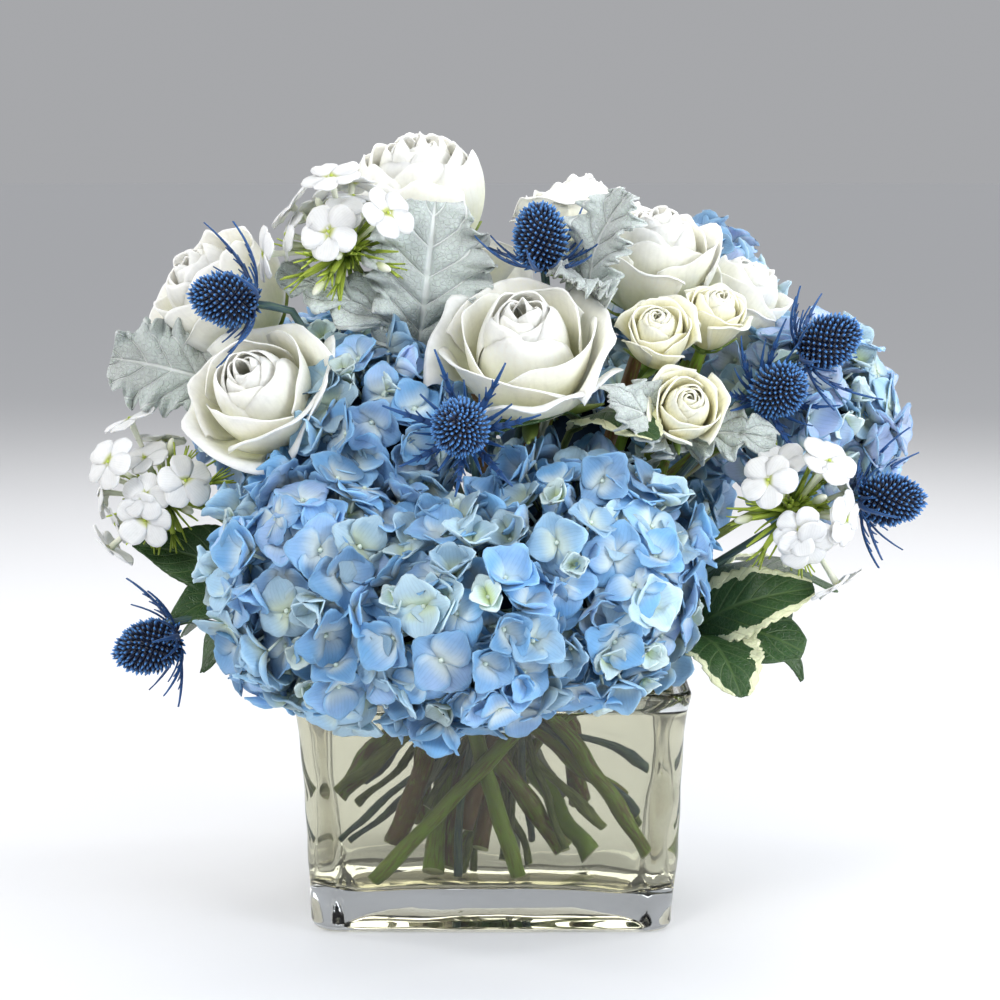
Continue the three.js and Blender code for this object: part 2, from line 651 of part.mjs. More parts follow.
// A phlox head: five-lobed florets at the ends of long tubes and narrow green buds, all from one knob.
// Grown, it keeps that clearance on every side.
function phloxParts({ florets, spread }, index, grown = 0) {
  const parts = [ball(7 + grown, 0)];
  const towards = (i, count, widest) => {
    const up = 1 - ((i + 0.5) / count) * (1 - Math.cos(widest));
    const flat = Math.sqrt(1 - up * up);
    return new THREE.Vector3(flat * Math.cos(i * GOLDEN_ANGLE), flat * Math.sin(i * GOLDEN_ANGLE), up);
  };
  for (let i = 0; i < florets; i++) {
    const random = (k) => draw(9000 + index * 200 + i * 6 + k);
    const way = towards(i, florets, spread);
    const length = PHLOX_TUBE * (0.75 + 0.6 * random(1));
    const end = way.clone().multiplyScalar(length);
    const floret = lobedFloret(PHLOX_FLORET, 1, length, grown);
    parts.push(placed(floret, placing(end.toArray(), way.toArray(), 6 * random(2))));
  }
  for (let i = 0; i < PHLOX_SPIKES; i++) {
    const way = towards(i, PHLOX_SPIKES, 2.1);
    const length = 17 + 6 * draw(9500 + index * 50 + i) + grown;
    const [base, tip] = [way.clone().multiplyScalar(2), way.clone().multiplyScalar(length)];
    parts.push(spike(base, tip, 4.4 + 3 * grown, 3.4 + 3 * grown));
  }
  return parts;
}

// Half-widths along a blade from its root to its tip, as shares of the widest, for each outline.
const OUTLINES = {
  dusty: [0.14, 0.62, 0.5, 0.95, 0.74, 1.0, 0.68, 0.6, 0.05],
  lobed: [0.12, 0.3, 0.85, 0.36, 1.0, 0.4, 0.8, 0.34, 0.05],
  round: [0.12, 0.66, 0.95, 1.0, 0.86, 0.52, 0.05],
  pointed: [0.12, 0.56, 0.9, 1.0, 0.8, 0.42, 0.04],
};
const BLADE_THICKNESS = 2.2; // along the middle; it thins to its edges

// A blade from root to tip: an arched strip, thickest along its rib, as wide at each station as its outline.
// Grown, it keeps that clearance on every side, for cutting what it passes through.
function blade(root, [tipAt, facesAt, width, outline], grown = 0) {
  const shares = OUTLINES[outline];
  const waved = outline === "dusty" || outline === "lobed";
  const along = vector(tipAt).sub(root);
  const length = along.length();
  along.normalize();
  const across = unit(facesAt).cross(along).normalize();
  const up = along.clone().cross(across).normalize();
  const thick = BLADE_THICKNESS / 2 + grown;
  const rings = shares.map((share, i) => {
    const t = i / (shares.length - 1);
    const arch = length * 0.16 * Math.sin(Math.PI * t);
    const half = (share * width) / 2;
    const forward = waved && share > 0.6 ? 0.06 * length * (1 - t) : 0;
    const wave = (waved ? (i % 2 ? 0.07 : -0.05) : 0.03) * width - 0.1 * half;
    const place = (hand, lift) =>
      root
        .clone()
        .addScaledVector(along, t * length + Math.abs(hand) * forward)
        .addScaledVector(across, hand * (half + grown))
        .addScaledVector(up, arch + lift);
    if (grown === 0) return [place(-1, wave), place(0, thick), place(1, wave), place(0, -thick)];
    const upper = [place(-1, wave + grown), place(0, thick), place(1, wave + grown)];
    return [...upper, place(1, wave - grown), place(0, -thick), place(-1, wave - grown)];
  });
  const end = 1.5 + grown;
  const [start, tip] = [root.clone().addScaledVector(along, -end), vector(tipAt).addScaledVector(along, end)];
  return loft(start, rings, tip, true);
}

// ---------------------------------------------------------------- putting the bouquet together

const KINDS = [
  { kind: "hydrangea", list: HYDRANGEAS, depth: (b) => CORE_BACK * b.reach + GAP, straight: () => 14 },
  { kind: "rose", list: ROSES, depth: (b) => ROSE_DEPTH * b.reach + GAP, straight: () => 12 },
  { kind: "spray", list: [SPRAY_ROSES[1]], depth: (b) => SPRAY_DEPTH * b.reach + GAP, straight: () => 14 },
  { kind: "thistle", list: THISTLES, depth: () => 6, straight: () => 22 },
  { kind: "phlox", list: PHLOXES, depth: () => 3, straight: () => 18 },
  { kind: "leafy", list: LEAFY, depth: () => 0, straight: () => 8 },
];

const stems = KINDS.flatMap(({ kind, list, depth, straight }) =>
  list.map((plant) => ({
    kind,
    plant,
    at: plant.at,
    faces: plant.faces ?? vector(plant.blades[0][0]).sub(vector(plant.at)).setZ(20).toArray(),
    radius: STEM_RADII[kind],
    depth: depth(plant),
    straight: straight(plant),
  })),
);
stems.forEach((stem, index) => {
  stem.course = firstCourse(stem, index);
});
bendClear(stems);
for (const stem of stems) {
  stem.rod = rod(stem.course, stem.radius);
  stem.cutter = rod(stem.course, stem.radius + 2 * GAP);
}

const block = vaseBlock();
const pieces = []; // finished nodes, in the order they are added
const thinCutters = []; // grown copies of the finished thin pieces

function add(name, made, colour, at) {
  pieces.push({ name, made, colour, at });
}

const others = (own) => stems.filter((s) => s !== own).map((s) => s.cutter);

add("vase", makeVase(), "glass", [0, 0, 0]);
add("water", makeWater(stems.map((s) => s.cutter)), "water", [0, 0, 0]);

// Thin pieces first: each keeps its whole stem and is cut clear of the earlier ones.
function addThin(stem, parts, grownParts, colour) {
  const outer = cutBy(Solid.union(parts), [block, ...others(stem), ...thinCutters]);
  const whole = largest(outer.add(stem.rod));
  add(stem.plant.name, whole, colour, stem.at);
  thinCutters.push(Solid.union(grownParts));
}

for (const stem of stems.filter((s) => s.kind === "leafy")) {
  const root = stem.course.at(-1);
  const parts = stem.plant.blades.map((b) => blade(root, b));
  const grownParts = stem.plant.blades.map((b) => blade(root, b, GAP));
  addThin(stem, parts, grownParts, stem.plant.name.startsWith("dusty") ? "dusty_miller" : "leaf");
}
const makers = { thistle: thistleParts, phlox: phloxParts };
for (const [kind, make] of Object.entries(makers))
  stems
    .filter((s) => s.kind === kind)
    .forEach((stem, index) => {
      const where = placing(stem.at, stem.plant.faces);
      const made = (grown) => make(stem.plant, index, grown).map((p) => placed(p, where));
      addThin(stem, made(0), made(GAP), kind);
    });

// The spray roses share one stem, which forks below them.
const sprayStem = stems.find((s) => s.kind === "spray");
const fork = sprayStem.course[FREE_POINTS - 1];
const branches = SPRAY_ROSES.filter((b) => b !== sprayStem.plant).map((b) => {
  const faces = unit(b.faces);
  const end = vector(b.at).addScaledVector(faces, -SPRAY_DEPTH * b.reach - GAP);
  const behind = end.clone().addScaledVector(faces, -14);
  return [fork.clone(), behind, end];
});
const branchRadius = STEM_RADII.spray * 0.8;
const sprayBranches = Solid.union(branches.map((c) => rod(c, branchRadius)));
const sprayWhole = largest(sprayStem.rod.add(cutBy(sprayBranches, [...others(sprayStem), ...thinCutters])));
add("spray_rose_stem", sprayWhole, "stem", sprayStem.at);
thinCutters.push(Solid.union(branches.map((c) => rod(c, branchRadius + 2 * GAP))));

// Full heads share the space between them along the flat face where two would meet.
const heads = [
  ...HYDRANGEAS.map((b, i) => ({ ...b, colour: "hydrangea", parts: () => hydrangeaParts(b, i) })),
  ...ROSES.map((b) => ({ ...b, colour: "rose", parts: () => roseParts(b) })),
  ...SPRAY_ROSES.map((b) => ({ ...b, colour: "spray_rose", parts: () => sprayRoseParts(b) })),
];
const cutters = [block, ...stems.map((s) => s.cutter), ...thinCutters];
const LEFT_OFF = 0.42; // a floret that would lose more than this share of itself is left off

// A solid cut back to a head's own share of the space.
function ownShare(made, head) {
  for (const other of heads) {
    if (other === head) continue;
    const apart = vector(other.at).sub(vector(head.at));
    const d = apart.length();
    const share = (d * d + head.reach ** 2 - other.reach ** 2) / (2 * d);
    if (share > 1.25 * head.reach) continue;
    apart.normalize();
    const offset = apart.dot(vector(head.at)) + share - GAP / 2;
    made = made.trimByPlane(apart.negate().toArray(), -offset);
  }
  return made;
}

for (const head of heads) {
  const where = placing(head.at, head.faces);
  const [core, ...petals] = head.parts().map((p) => placed(p, where));
  const kept = petals.filter(
    (p) => cutBy(ownShare(p, head), cutters).volume() > (1 - LEFT_OFF) * p.volume(),
  );
  const made = cutBy(ownShare(Solid.union([core, ...kept]), head), cutters);
  add(head.name, largest(made), head.colour, head.at);
}
for (const stem of stems.filter((s) => s.kind === "hydrangea" || s.kind === "rose"))
  add(`${stem.plant.name}_stem`, largest(cutBy(stem.rod, thinCutters)), "stem", stem.course[1].toArray());

// ---------------------------------------------------------------- the scene graph

// One mesh, whose own origin is where the piece is carried.
function meshOf({ name, made, colour, at }) {
  const { vertProperties, triVerts } = made.getMesh();
  const geometry = new THREE.BufferGeometry();
  geometry.setAttribute("position", new THREE.BufferAttribute(new Float32Array(vertProperties), 3));
  geometry.setIndex(new THREE.BufferAttribute(new Uint32Array(triVerts), 1));
  geometry.translate(-at[0], -at[1], -at[2]);
  const flat = geometry.toNonIndexed();
  flat.computeVertexNormals();
  const [hex, roughness] = COLOURS[colour];
  const clear = colour === "glass" || colour === "water";
  const material = new THREE.MeshStandardMaterial({ color: hex, roughness, metalness: 0 });
  material.transparent = clear;
  material.opacity = clear ? 0.35 : 1;
  const mesh = new THREE.Mesh(flat, material);
  mesh.name = name;
  mesh.position.set(...at);
  return mesh;
}

const bouquet = new THREE.Group();
bouquet.name = "hydrangea_bouquet_in_vase";
for (const piece of pieces) bouquet.add(meshOf(piece));

export default bouquet;
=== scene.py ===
"""A low mixed bouquet in a clear rectangular glass vase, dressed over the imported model.

Shapes are worked out in millimetres and put into their meshes in metres. +Z is up and -Y is the front.
"""
import math

import bpy
import numpy as np
from bpy.props import FloatProperty, FloatVectorProperty, IntProperty, PointerProperty
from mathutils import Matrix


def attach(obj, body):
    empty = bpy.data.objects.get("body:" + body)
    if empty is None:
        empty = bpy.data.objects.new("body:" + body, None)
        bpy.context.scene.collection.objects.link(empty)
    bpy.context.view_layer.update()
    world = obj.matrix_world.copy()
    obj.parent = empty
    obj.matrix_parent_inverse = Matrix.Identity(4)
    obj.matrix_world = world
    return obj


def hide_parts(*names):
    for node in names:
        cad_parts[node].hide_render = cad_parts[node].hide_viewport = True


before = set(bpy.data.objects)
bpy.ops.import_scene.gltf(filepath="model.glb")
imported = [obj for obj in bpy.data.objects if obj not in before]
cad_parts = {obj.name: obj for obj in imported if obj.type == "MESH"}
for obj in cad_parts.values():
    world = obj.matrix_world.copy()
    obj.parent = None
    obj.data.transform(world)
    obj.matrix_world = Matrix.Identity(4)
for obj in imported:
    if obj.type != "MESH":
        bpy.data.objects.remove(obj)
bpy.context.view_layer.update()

bl_info = {
    "name": "Hydrangea Bouquet in a Vase",
    "version": (1, 0, 0),
    "blender": (4, 5, 0),
    "location": "3D View > Sidebar > Bouquet",
    "description": "Builds the flowers, leaves, stems, glass and water of a mixed bouquet over its frame",
    "category": "Add Mesh",
}

MM = 0.001
GOLDEN_ANGLE = math.pi * (3 - math.sqrt(5))
WATER_LEVEL, VASE_HEIGHT = 98.0, 108.0
WALL, FLOOR_DEPTH = 5, 15  # how thick the glass is
PETAL_THICKNESS = 0.6


def rows_by_name(keys, rows):
    """A table's rows as dicts by name."""
    return {name: dict(zip(keys, row)) for name, *row in rows}


# Each bloom: the middle of its head, the reach of its petals and the way it faces. A hydrangea's tone runs
# from sky blue at 0 to lavender blue at 1. A rose's openness runs from a closed cup at 0 to a rolled-back
# bloom at 1, and its spin turns it.
HYDRANGEAS = rows_by_name(("at", "reach", "faces", "tone"), [
    ("hydrangea_front_left", (-65, -80, 158), 57, (-0.45, -0.85, 0.15), 0.15),
    ("hydrangea_front_right", (36, -79, 162), 57, (0.35, -0.85, 0.2), 0.1),
    ("hydrangea_front_low", (-10, -104, 150), 50, (0, -0.9, -0.3), 0.0),
    ("hydrangea_top_left", (-46, -52, 222), 38, (-0.15, -0.75, 0.6), 0.25),
    ("hydrangea_right", (137, 2, 220), 46, (0.8, -0.3, 0.3), 0.95),
    ("hydrangea_top_right", (90, 52, 267), 41, (0.55, 0.35, 0.75), 0.9),
    ("hydrangea_back_left", (-76, 64, 206), 60, (-0.5, 0.75, 0.3), 0.4),
    ("hydrangea_back_right", (54, 74, 188), 62, (0.3, 0.9, 0.1), 0.2),
])
ROSES = rows_by_name(("at", "reach", "faces", "spin", "open"), [
    ("rose_top", (-32, -5, 323), 42, (-0.1, -0.3, 0.95), 0.3, 0.05),
    ("rose_left", (-122, -10, 277), 40, (-0.62, -0.35, 0.7), 1.2, 0.55),
    ("rose_front_left", (-98, -60, 238), 37, (-0.3, -0.72, 0.62), 2.0, 0.8),
    ("rose_front", (14, -70, 258), 42, (-0.08, -0.6, 0.8), 0.9, 1.0),
    ("rose_right", (71, -12, 295), 37, (0.1, -0.35, 0.93), 2.6, 0.5),
    ("rose_back_top", (40, 42, 309), 35, (0.05, 0.15, 1), 0.2, 0.7),
    ("rose_back_right", (112, 18, 274), 32, (0.6, -0.15, 0.78), 1.7, 0.6),
    ("rose_back", (-16, 86, 268), 38, (-0.1, 0.75, 0.65), 0.5, 0.9),
])
SPRAY_ROSES = rows_by_name(("at", "reach", "faces", "spin"), [
    ("spray_rose_left", (70, -62, 265), 18, (-0.05, -0.72, 0.68), 0.4),
    ("spray_rose_right", (96, -44, 272), 16.5, (0.25, -0.5, 0.83), 1.5),
    ("spray_rose_low", (81, -76, 234), 19, (0.1, -0.86, 0.48), 2.2),
])
THISTLES = rows_by_name(("at", "faces"), [
    ("thistle_left", (-109, -58, 277), (-0.88, -0.4, 0.2)),
    ("thistle_top", (21, -50, 300), (-0.1, -0.35, 0.92)),
    ("thistle_front", (-12, -115, 229), (-0.12, -0.92, 0.3)),
    ("thistle_low_left", (-142, -70, 132), (-0.9, -0.38, -0.22)),
    ("thistle_right", (120, -56, 238), (0.35, -0.8, 0.4)),
    ("thistle_upper_right", (141, -42, 257), (0.8, -0.3, 0.42)),
    ("thistle_far_right", (170, -34, 189), (0.9, -0.38, 0.05)),
])
PHLOXES = rows_by_name(("at", "faces", "florets", "spread"), [
    ("phlox_left", (-142, -38, 190), (-0.75, -0.6, 0.25), 6, 1.35),
    ("phlox_top", (-62, -44, 297), (-0.45, -0.4, 0.8), 6, 1.2),
    ("phlox_right", (127, -60, 188), (0.6, -0.75, 0.15), 6, 1.3),
])
# Leaves share a stem where their roots meet. Each blade: its tip, the way its upper face looks, its width
# and its kind.
LEAFY = rows_by_name(("at", "blades"), [
    ("dusty_miller_centre", (-32, -32, 256), [
        ((-24, -42, 318), (0.1, -0.95, 0.3), 58, "ruffled"),
        ((-92, -40, 288), (0.2, -0.9, 0.4), 30, "cut"),
    ]),
    ("dusty_miller_left", (-112, -22, 236), [
        ((-166, -24, 250), (-0.1, -0.9, 0.3), 44, "ruffled"),
    ]),
    ("dusty_miller_top", (42, -40, 274), [
        ((58, -48, 322), (-0.6, -0.7, 0.3), 36, "ruffled"),
        ((32, -66, 286), (0.2, -0.4, 0.9), 30, "ruffled"),
    ]),
    ("dusty_miller_right", (72, -38, 212), [
        ((48, -94, 238), (0.3, -0.9, 0.4), 30, "ruffled"),
        ((120, -64, 219), (-0.1, -0.8, 0.6), 30, "cut"),
    ]),
    ("variegated_front", (38, -42, 222), [
        ((68, -92, 222), (0.2, -0.75, 0.65), 34, "variegated"),
        ((2, -92, 224), (-0.3, -0.7, 0.6), 26, "pointed"),
    ]),
    ("variegated_right", (84, -40, 130), [
        ((104, -92, 114), (0.35, -0.8, 0.5), 42, "variegated"),
        ((134, -58, 126), (0.3, -0.6, 0.75), 42, "round"),
        ((138, -58, 154), (0.2, -0.75, 0.6), 34, "variegated"),
    ]),
    ("leaves_left", (-96, -30, 146), [
        ((-156, -40, 170), (-0.3, -0.7, 0.6), 34, "pointed"),
        ((-138, -66, 140), (-0.3, -0.8, 0.5), 32, "pointed"),
    ]),
    ("leaves_left_low", (-84, 8, 132), [
        ((-142, 22, 118), (-0.6, 0.1, 0.8), 44, "round"),
        ((-128, -32, 112), (-0.6, -0.3, 0.75), 40, "pointed"),
    ]),
    ("leaves_right_low", (92, 2, 136), [
        ((156, 12, 142), (0.5, 0, 0.85), 44, "round"),
        ((138, 48, 112), (0.6, 0.3, 0.75), 42, "pointed"),
        ((136, -34, 108), (0.6, -0.3, 0.75), 40, "pointed"),
    ]),
    ("leaves_back", (-6, 66, 128), [
        ((-58, 104, 106), (-0.3, 0.7, 0.65), 40, "pointed"),
        ((2, 126, 98), (0, 0.75, 0.65), 44, "round"),
    ]),
    ("leaves_back_left", (-74, 50, 132), [
        ((-134, 78, 118), (-0.6, 0.3, 0.75), 42, "variegated"),
        ((-104, 112, 128), (-0.4, 0.6, 0.7), 38, "round"),
    ]),
    ("leaves_back_right", (84, 44, 124), [
        ((74, 112, 104), (0.3, 0.7, 0.65), 40, "round"),
        ((136, 92, 140), (0.5, 0.6, 0.6), 38, "variegated"),
    ]),
])
STEM_RADII = {"hydrangea": 4.4, "rose": 3.4, "spray": 2.8, "thistle": 1.8, "phlox": 2.1, "leafy": 1.8}
# From a head's middle to its stem's end, as a share of its reach.
HYDRANGEA_DEPTH, ROSE_DEPTH, SPRAY_DEPTH = 0.612, 0.82, 1.25
# Where each kind's random draws begin. The sea hollies' bracts and the phlox's florets follow the draws that
# turned the solids' own.
SEEDS = {"hydrangea": 100, "rose": 300, "spray": 400, "thistle": 500, "phlox": 600}
SEEDS |= {"silver": 700, "green": 800}
STEM_DRAWS, THISTLE_DRAWS, PHLOX_DRAWS = 40, 5000, 9000


# ------------------------------------------------------------------ settings


def length_of(name, description, default):
    kind = {"min": 0, "subtype": "DISTANCE", "unit": "LENGTH"}
    return FloatProperty(name=name, description=description, default=default, **kind)


def colour_of(name, description, default):
    kind = {"size": 3, "min": 0, "max": 1, "subtype": "COLOR"}
    return FloatVectorProperty(name=name, description=description, default=default, **kind)


def count_of(name, description, default, least, most):
    return IntProperty(name=name, description=description, default=default, min=least, max=most)


def power_of(name, description, default):
    return FloatProperty(name=name, description=description + ", in watts", default=default, min=0)


class VaseSettings(bpy.types.PropertyGroup):
    wave: length_of("Glass wave", "How far the cast walls swell and dip", 0.0012)
    crown: length_of("Floor crown", "How far the inner floor rises in the middle", 0.003)
    glass: colour_of("Glass", "Tint of the glass", (0.83, 0.86, 0.865))
    water: colour_of("Water", "Tint of the water", (0.82, 0.755, 0.56))


class StemSettings(bpy.types.PropertyGroup):
    green: colour_of("Green", "Fresh parts of the stems", (0.17, 0.29, 0.025))
    brown: colour_of("Brown", "Woody parts of the stems", (0.12, 0.06, 0.022))


class HydrangeaSettings(bpy.types.PropertyGroup):
    floret: length_of("Floret", "From the middle of a floret to a sepal's tip", 0.0148)
    crowding: FloatProperty(
        name="Crowding", description="How densely florets cover a head", default=1.0, min=0.3, max=2
    )
    heart: colour_of("Heart", "Pale colour near the middle of a floret", (0.70, 0.82, 0.83))
    sky: colour_of("Sky", "Blue of most sepals", (0.17, 0.40, 0.70))
    lavender: colour_of("Lavender", "Blue of the more violet heads", (0.56, 0.68, 0.98))
    rim: colour_of("Rim", "Edge of the sepals", (0.24, 0.48, 0.77))
    young: colour_of("Young", "Middle of a young floret", (0.60, 0.72, 0.32))
    young_rim: colour_of("Young Rim", "Outer part of a young floret", (0.70, 0.86, 0.84))


class RoseSettings(bpy.types.PropertyGroup):
    bud: count_of("Bud Petals", "Petals that close over the middle", 13, 3, 30)
    outer: count_of("Outer Petals", "Petals of the bowl round the bud", 8, 3, 30)
    petal: colour_of("Petal", "White of the petals", (0.955, 0.94, 0.83))
    rim: colour_of("Rim", "Edge of the petals", (0.96, 0.955, 0.91))
    # The depth colour is the cream-green foot of the petals, and also painted shade deep in the bloom, where
    # the petals close in.
    depth: colour_of("Depth", "Cream at the foot of the petals", (0.86, 0.88, 0.46))


class SprayRoseSettings(bpy.types.PropertyGroup):
    bud: count_of("Bud Petals", "Petals that close over the middle", 13, 3, 30)
    outer: count_of("Outer Petals", "Petals of the bowl round the bud", 9, 3, 30)
    petal: colour_of("Petal", "Cream of the petals", (0.95, 0.92, 0.67))
    rim: colour_of("Rim", "Edge of the petals", (0.955, 0.94, 0.80))
    depth: colour_of("Depth", "Yellow at the foot of the petals", (0.88, 0.80, 0.32))


class ThistleSettings(bpy.types.PropertyGroup):
    tubes: count_of("Tubes", "Small flowers on each cone", 290, 50, 600)
    # The dark colour is near-black blue, painted shade between the small flowers: the cone's core is all of
    # it and each flower is dark at its root.
    dark: colour_of("Dark", "Deep blue between the small flowers", (0.002, 0.012, 0.05))
    tip: colour_of("Tip", "Pale tips of the small flowers", (0.07, 0.25, 0.62))
    bract: colour_of("Bract", "Spiny collar", (0.008, 0.045, 0.16))


class PhloxSettings(bpy.types.PropertyGroup):
    floret: length_of("Floret", "From the middle of a floret to a petal's tip", 0.0125)
    petal: colour_of("Petal", "White of the petals", (0.77, 0.775, 0.77))
    eye: colour_of("Eye", "Yellow-green middle of a floret", (0.50, 0.54, 0.16))
    calyx: colour_of("Calyx", "Lime green of the buds' sleeves", (0.42, 0.53, 0.07))


class DustyMillerSettings(bpy.types.PropertyGroup):
    felt: colour_of("Felt", "Silver felt of the upper face", (0.50, 0.56, 0.54))
    vein: colour_of("Vein", "Pale veins", (0.84, 0.87, 0.85))
    under: colour_of("Underside", "Browner underside", (0.30, 0.30, 0.285))


class LeafSettings(bpy.types.PropertyGroup):
    green: colour_of("Green", "Dark green of the leaves", (0.030, 0.075, 0.022))
    vein: colour_of("Vein", "Lighter veins", (0.12, 0.19, 0.065))
    margin: colour_of("Margin", "Cream margin of the variegated leaves", (0.72, 0.74, 0.48))


class StageSettings(bpy.types.PropertyGroup):
    floor: colour_of("Floor", "Plain pale floor", (0.79, 0.79, 0.80))
    horizon: colour_of("Horizon", "Sky near the floor", (0.385, 0.39, 0.405))
    zenith: colour_of("Zenith", "Sky overhead", (0.62, 0.64, 0.68))
    key: power_of("Key", "Power of the main soft light", 16.5)
    fill: power_of("Fill", "Power of the soft light on the right, which the others follow", 22)


# ------------------------------------------------------------------ numbers, turns and courses


def draw(seeds):
    """A repeatable draw between 0 and 1 for each seed: a 32-bit counter mixed by shifts and products."""
    with np.errstate(over="ignore"):
        t = (np.asarray(seeds, np.int64) + 0x6D2B79F5).astype(np.uint32)
        t = (t ^ (t >> np.uint32(15))) * (t | np.uint32(1))
        t = t ^ (t + (t ^ (t >> np.uint32(7))) * (t | np.uint32(61)))
        return (t ^ (t >> np.uint32(14))) / 2**32


def unit(a):
    """Vectors of length 1."""
    a = np.asarray(a, float)
    return a / np.maximum(np.linalg.norm(a, axis=-1, keepdims=True), 1e-12)


def smooth(x, low, high):
    """0 below low, 1 above high and 3t² - 2t³ between them."""
    t = np.clip((x - low) / (high - low), 0, 1)
    return t * t * (3 - 2 * t)


def turns(faces, spin=0.0):
    """Rotations shaped (n, 3, 3) that carry +Z to each facing direction by the shortest way, after a spin
    about +Z: R = I + [v] + [v]² / (1 + c), where v = z x f and c = z . f."""
    f = unit(np.atleast_2d(faces))
    x, y, c = -f[:, 1], f[:, 0], f[:, 2]
    k = 1 / np.maximum(1 + c, 1e-6)
    s = x * x + y * y
    rows = [[1 + (x * x - s) * k, x * y * k, y], [x * y * k, 1 + (y * y - s) * k, -x], [-y, x, 1 - s * k]]
    lean = np.moveaxis(np.array(rows), 2, 0)
    a = np.broadcast_to(spin, len(f))
    zero, one = np.zeros(len(f)), np.ones(len(f))
    spun = [[np.cos(a), -np.sin(a), zero], [np.sin(a), np.cos(a), zero], [zero, zero, one]]
    return lean @ np.moveaxis(np.array(spun), 2, 0)


def carried(points, turn, at):
    """Points shaped (n, ..., 3) turned by one rotation each and moved to one place each."""
    n = len(points)
    turned = points.reshape(n, -1, 3) @ np.swapaxes(np.broadcast_to(turn, (n, 3, 3)), 1, 2)
    return (turned + np.broadcast_to(at, (n, 3))[:, None]).reshape(points.shape)


def spiral(count, widest):
    """Unit directions about +Z, spread evenly over a cap by the golden angle, out to the widest angle."""
    i = np.arange(count)
    up = 1 - (i + 0.5) / count * (1 - math.cos(widest))
    flat = np.sqrt(1 - up * up)
    return np.stack([flat * np.cos(i * GOLDEN_ANGLE), flat * np.sin(i * GOLDEN_ANGLE), up], -1)


def resampled(points, count):
    """A smooth course of count points, evenly spaced along a curve through the given ones (Catmull-Rom)."""
    p = np.asarray(points, float)
    p = np.vstack([2 * p[0] - p[1], p, 2 * p[-1] - p[-2]])
    t = np.linspace(0, 1, 9)[:-1, None]
    a, b, c, d = (p[i : len(p) - 3 + i, None] for i in range(4))
    fine = 0.5 * (2 * b + (c - a) * t + (2 * a - 5 * b + 4 * c - d) * t**2 + (3 * b - a - 3 * c + d) * t**3)
    fine = np.vstack([fine.reshape(-1, 3), p[-2]])
    run = np.concatenate([[0], np.cumsum(np.linalg.norm(np.diff(fine, axis=0), axis=1))])
    return np.stack([np.interp(np.linspace(0, run[-1], count), run, fine[:, k]) for k in range(3)], -1)


def node_triangles(node):
    """A CAD node's triangles as an array (n, 3, 3), in millimetres."""
    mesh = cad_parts[node].data
    corners = np.empty(len(mesh.vertices) * 3, np.float32)
    mesh.vertices.foreach_get("co", corners)
    mesh.calc_loop_triangles()
    order = np.empty(len(mesh.loop_triangles) * 3, np.int32)
    mesh.loop_triangles.foreach_get("vertices", order)
    return corners.reshape(-1, 3)[order].reshape(-1, 3, 3).astype(float) / MM


FOOT_REACH, SECTION_REACH = 2.4, 3.2  # how far a stem's foot and sections reach, in radii
SECTION_STEP, HEAD_CLEARANCE, COURSE_POINTS = 7.0, 9, 30


def level_middle(triangles, z, guess, reach):
    """The middle of a solid's level section near a guess: its sides' midpoints, weighted by their
    lengths."""
    over = triangles[:, :, 2] > z
    cut = triangles[over.any(1) & ~over.all(1)]
    start, end = cut, np.roll(cut, -1, axis=1)
    crossing = (start[..., 2] > z) != (end[..., 2] > z)
    share = ((z - start[..., 2]) / np.where(crossing, end[..., 2] - start[..., 2], 1))[..., None]
    ends = (start + share * (end - start))[crossing].reshape(-1, 2, 3)
    middle, length = ends.mean(1), np.linalg.norm(ends[:, 1] - ends[:, 0], axis=1)
    close = np.linalg.norm(middle - guess, axis=1) < reach
    return (middle[close] * length[close, None]).sum(0) / length[close].sum() if close.sum() > 2 else None


def stem_course(node, radius, way_in):
    """A stem's course in its CAD node: the middle of its foot, then the middles of level sections followed
    upwards, and last the given points that lead into its head."""
    triangles = node_triangles(node)
    corners = np.unique(triangles.reshape(-1, 3).round(3), axis=0)
    lowest = corners[corners[:, 2].argmin()]
    foot = corners[np.linalg.norm(corners - lowest, axis=1) < FOOT_REACH * radius].mean(0)
    course, step, behind = [foot], np.array([0, 0, 1.0]), way_in[0]
    for z in np.arange(foot[2] + 2 * radius, behind[2] - 2, SECTION_STEP):
        guess = course[-1] + step * (z - course[-1][2]) / max(step[2], 0.25)
        middle = level_middle(triangles, z, guess, SECTION_REACH * radius)
        if middle is None:
            break
        step = unit(middle - course[-1])
        course.append(middle)
    kept = [p for p in course if np.linalg.norm(p - behind) > HEAD_CLEARANCE]
    return resampled([*kept, *way_in], COURSE_POINTS)


def way_into(at, faces, depth, straight, radius):
    """The last two points of a stem: straight behind its head, and at the head's back."""
    at, faces = np.array(at, float), unit(faces)
    behind = at - faces * (depth + straight)
    behind[2] = max(behind[2], VASE_HEIGHT + radius + 8)
    return [behind, at - faces * depth]


# ------------------------------------------------------------------ surfaces


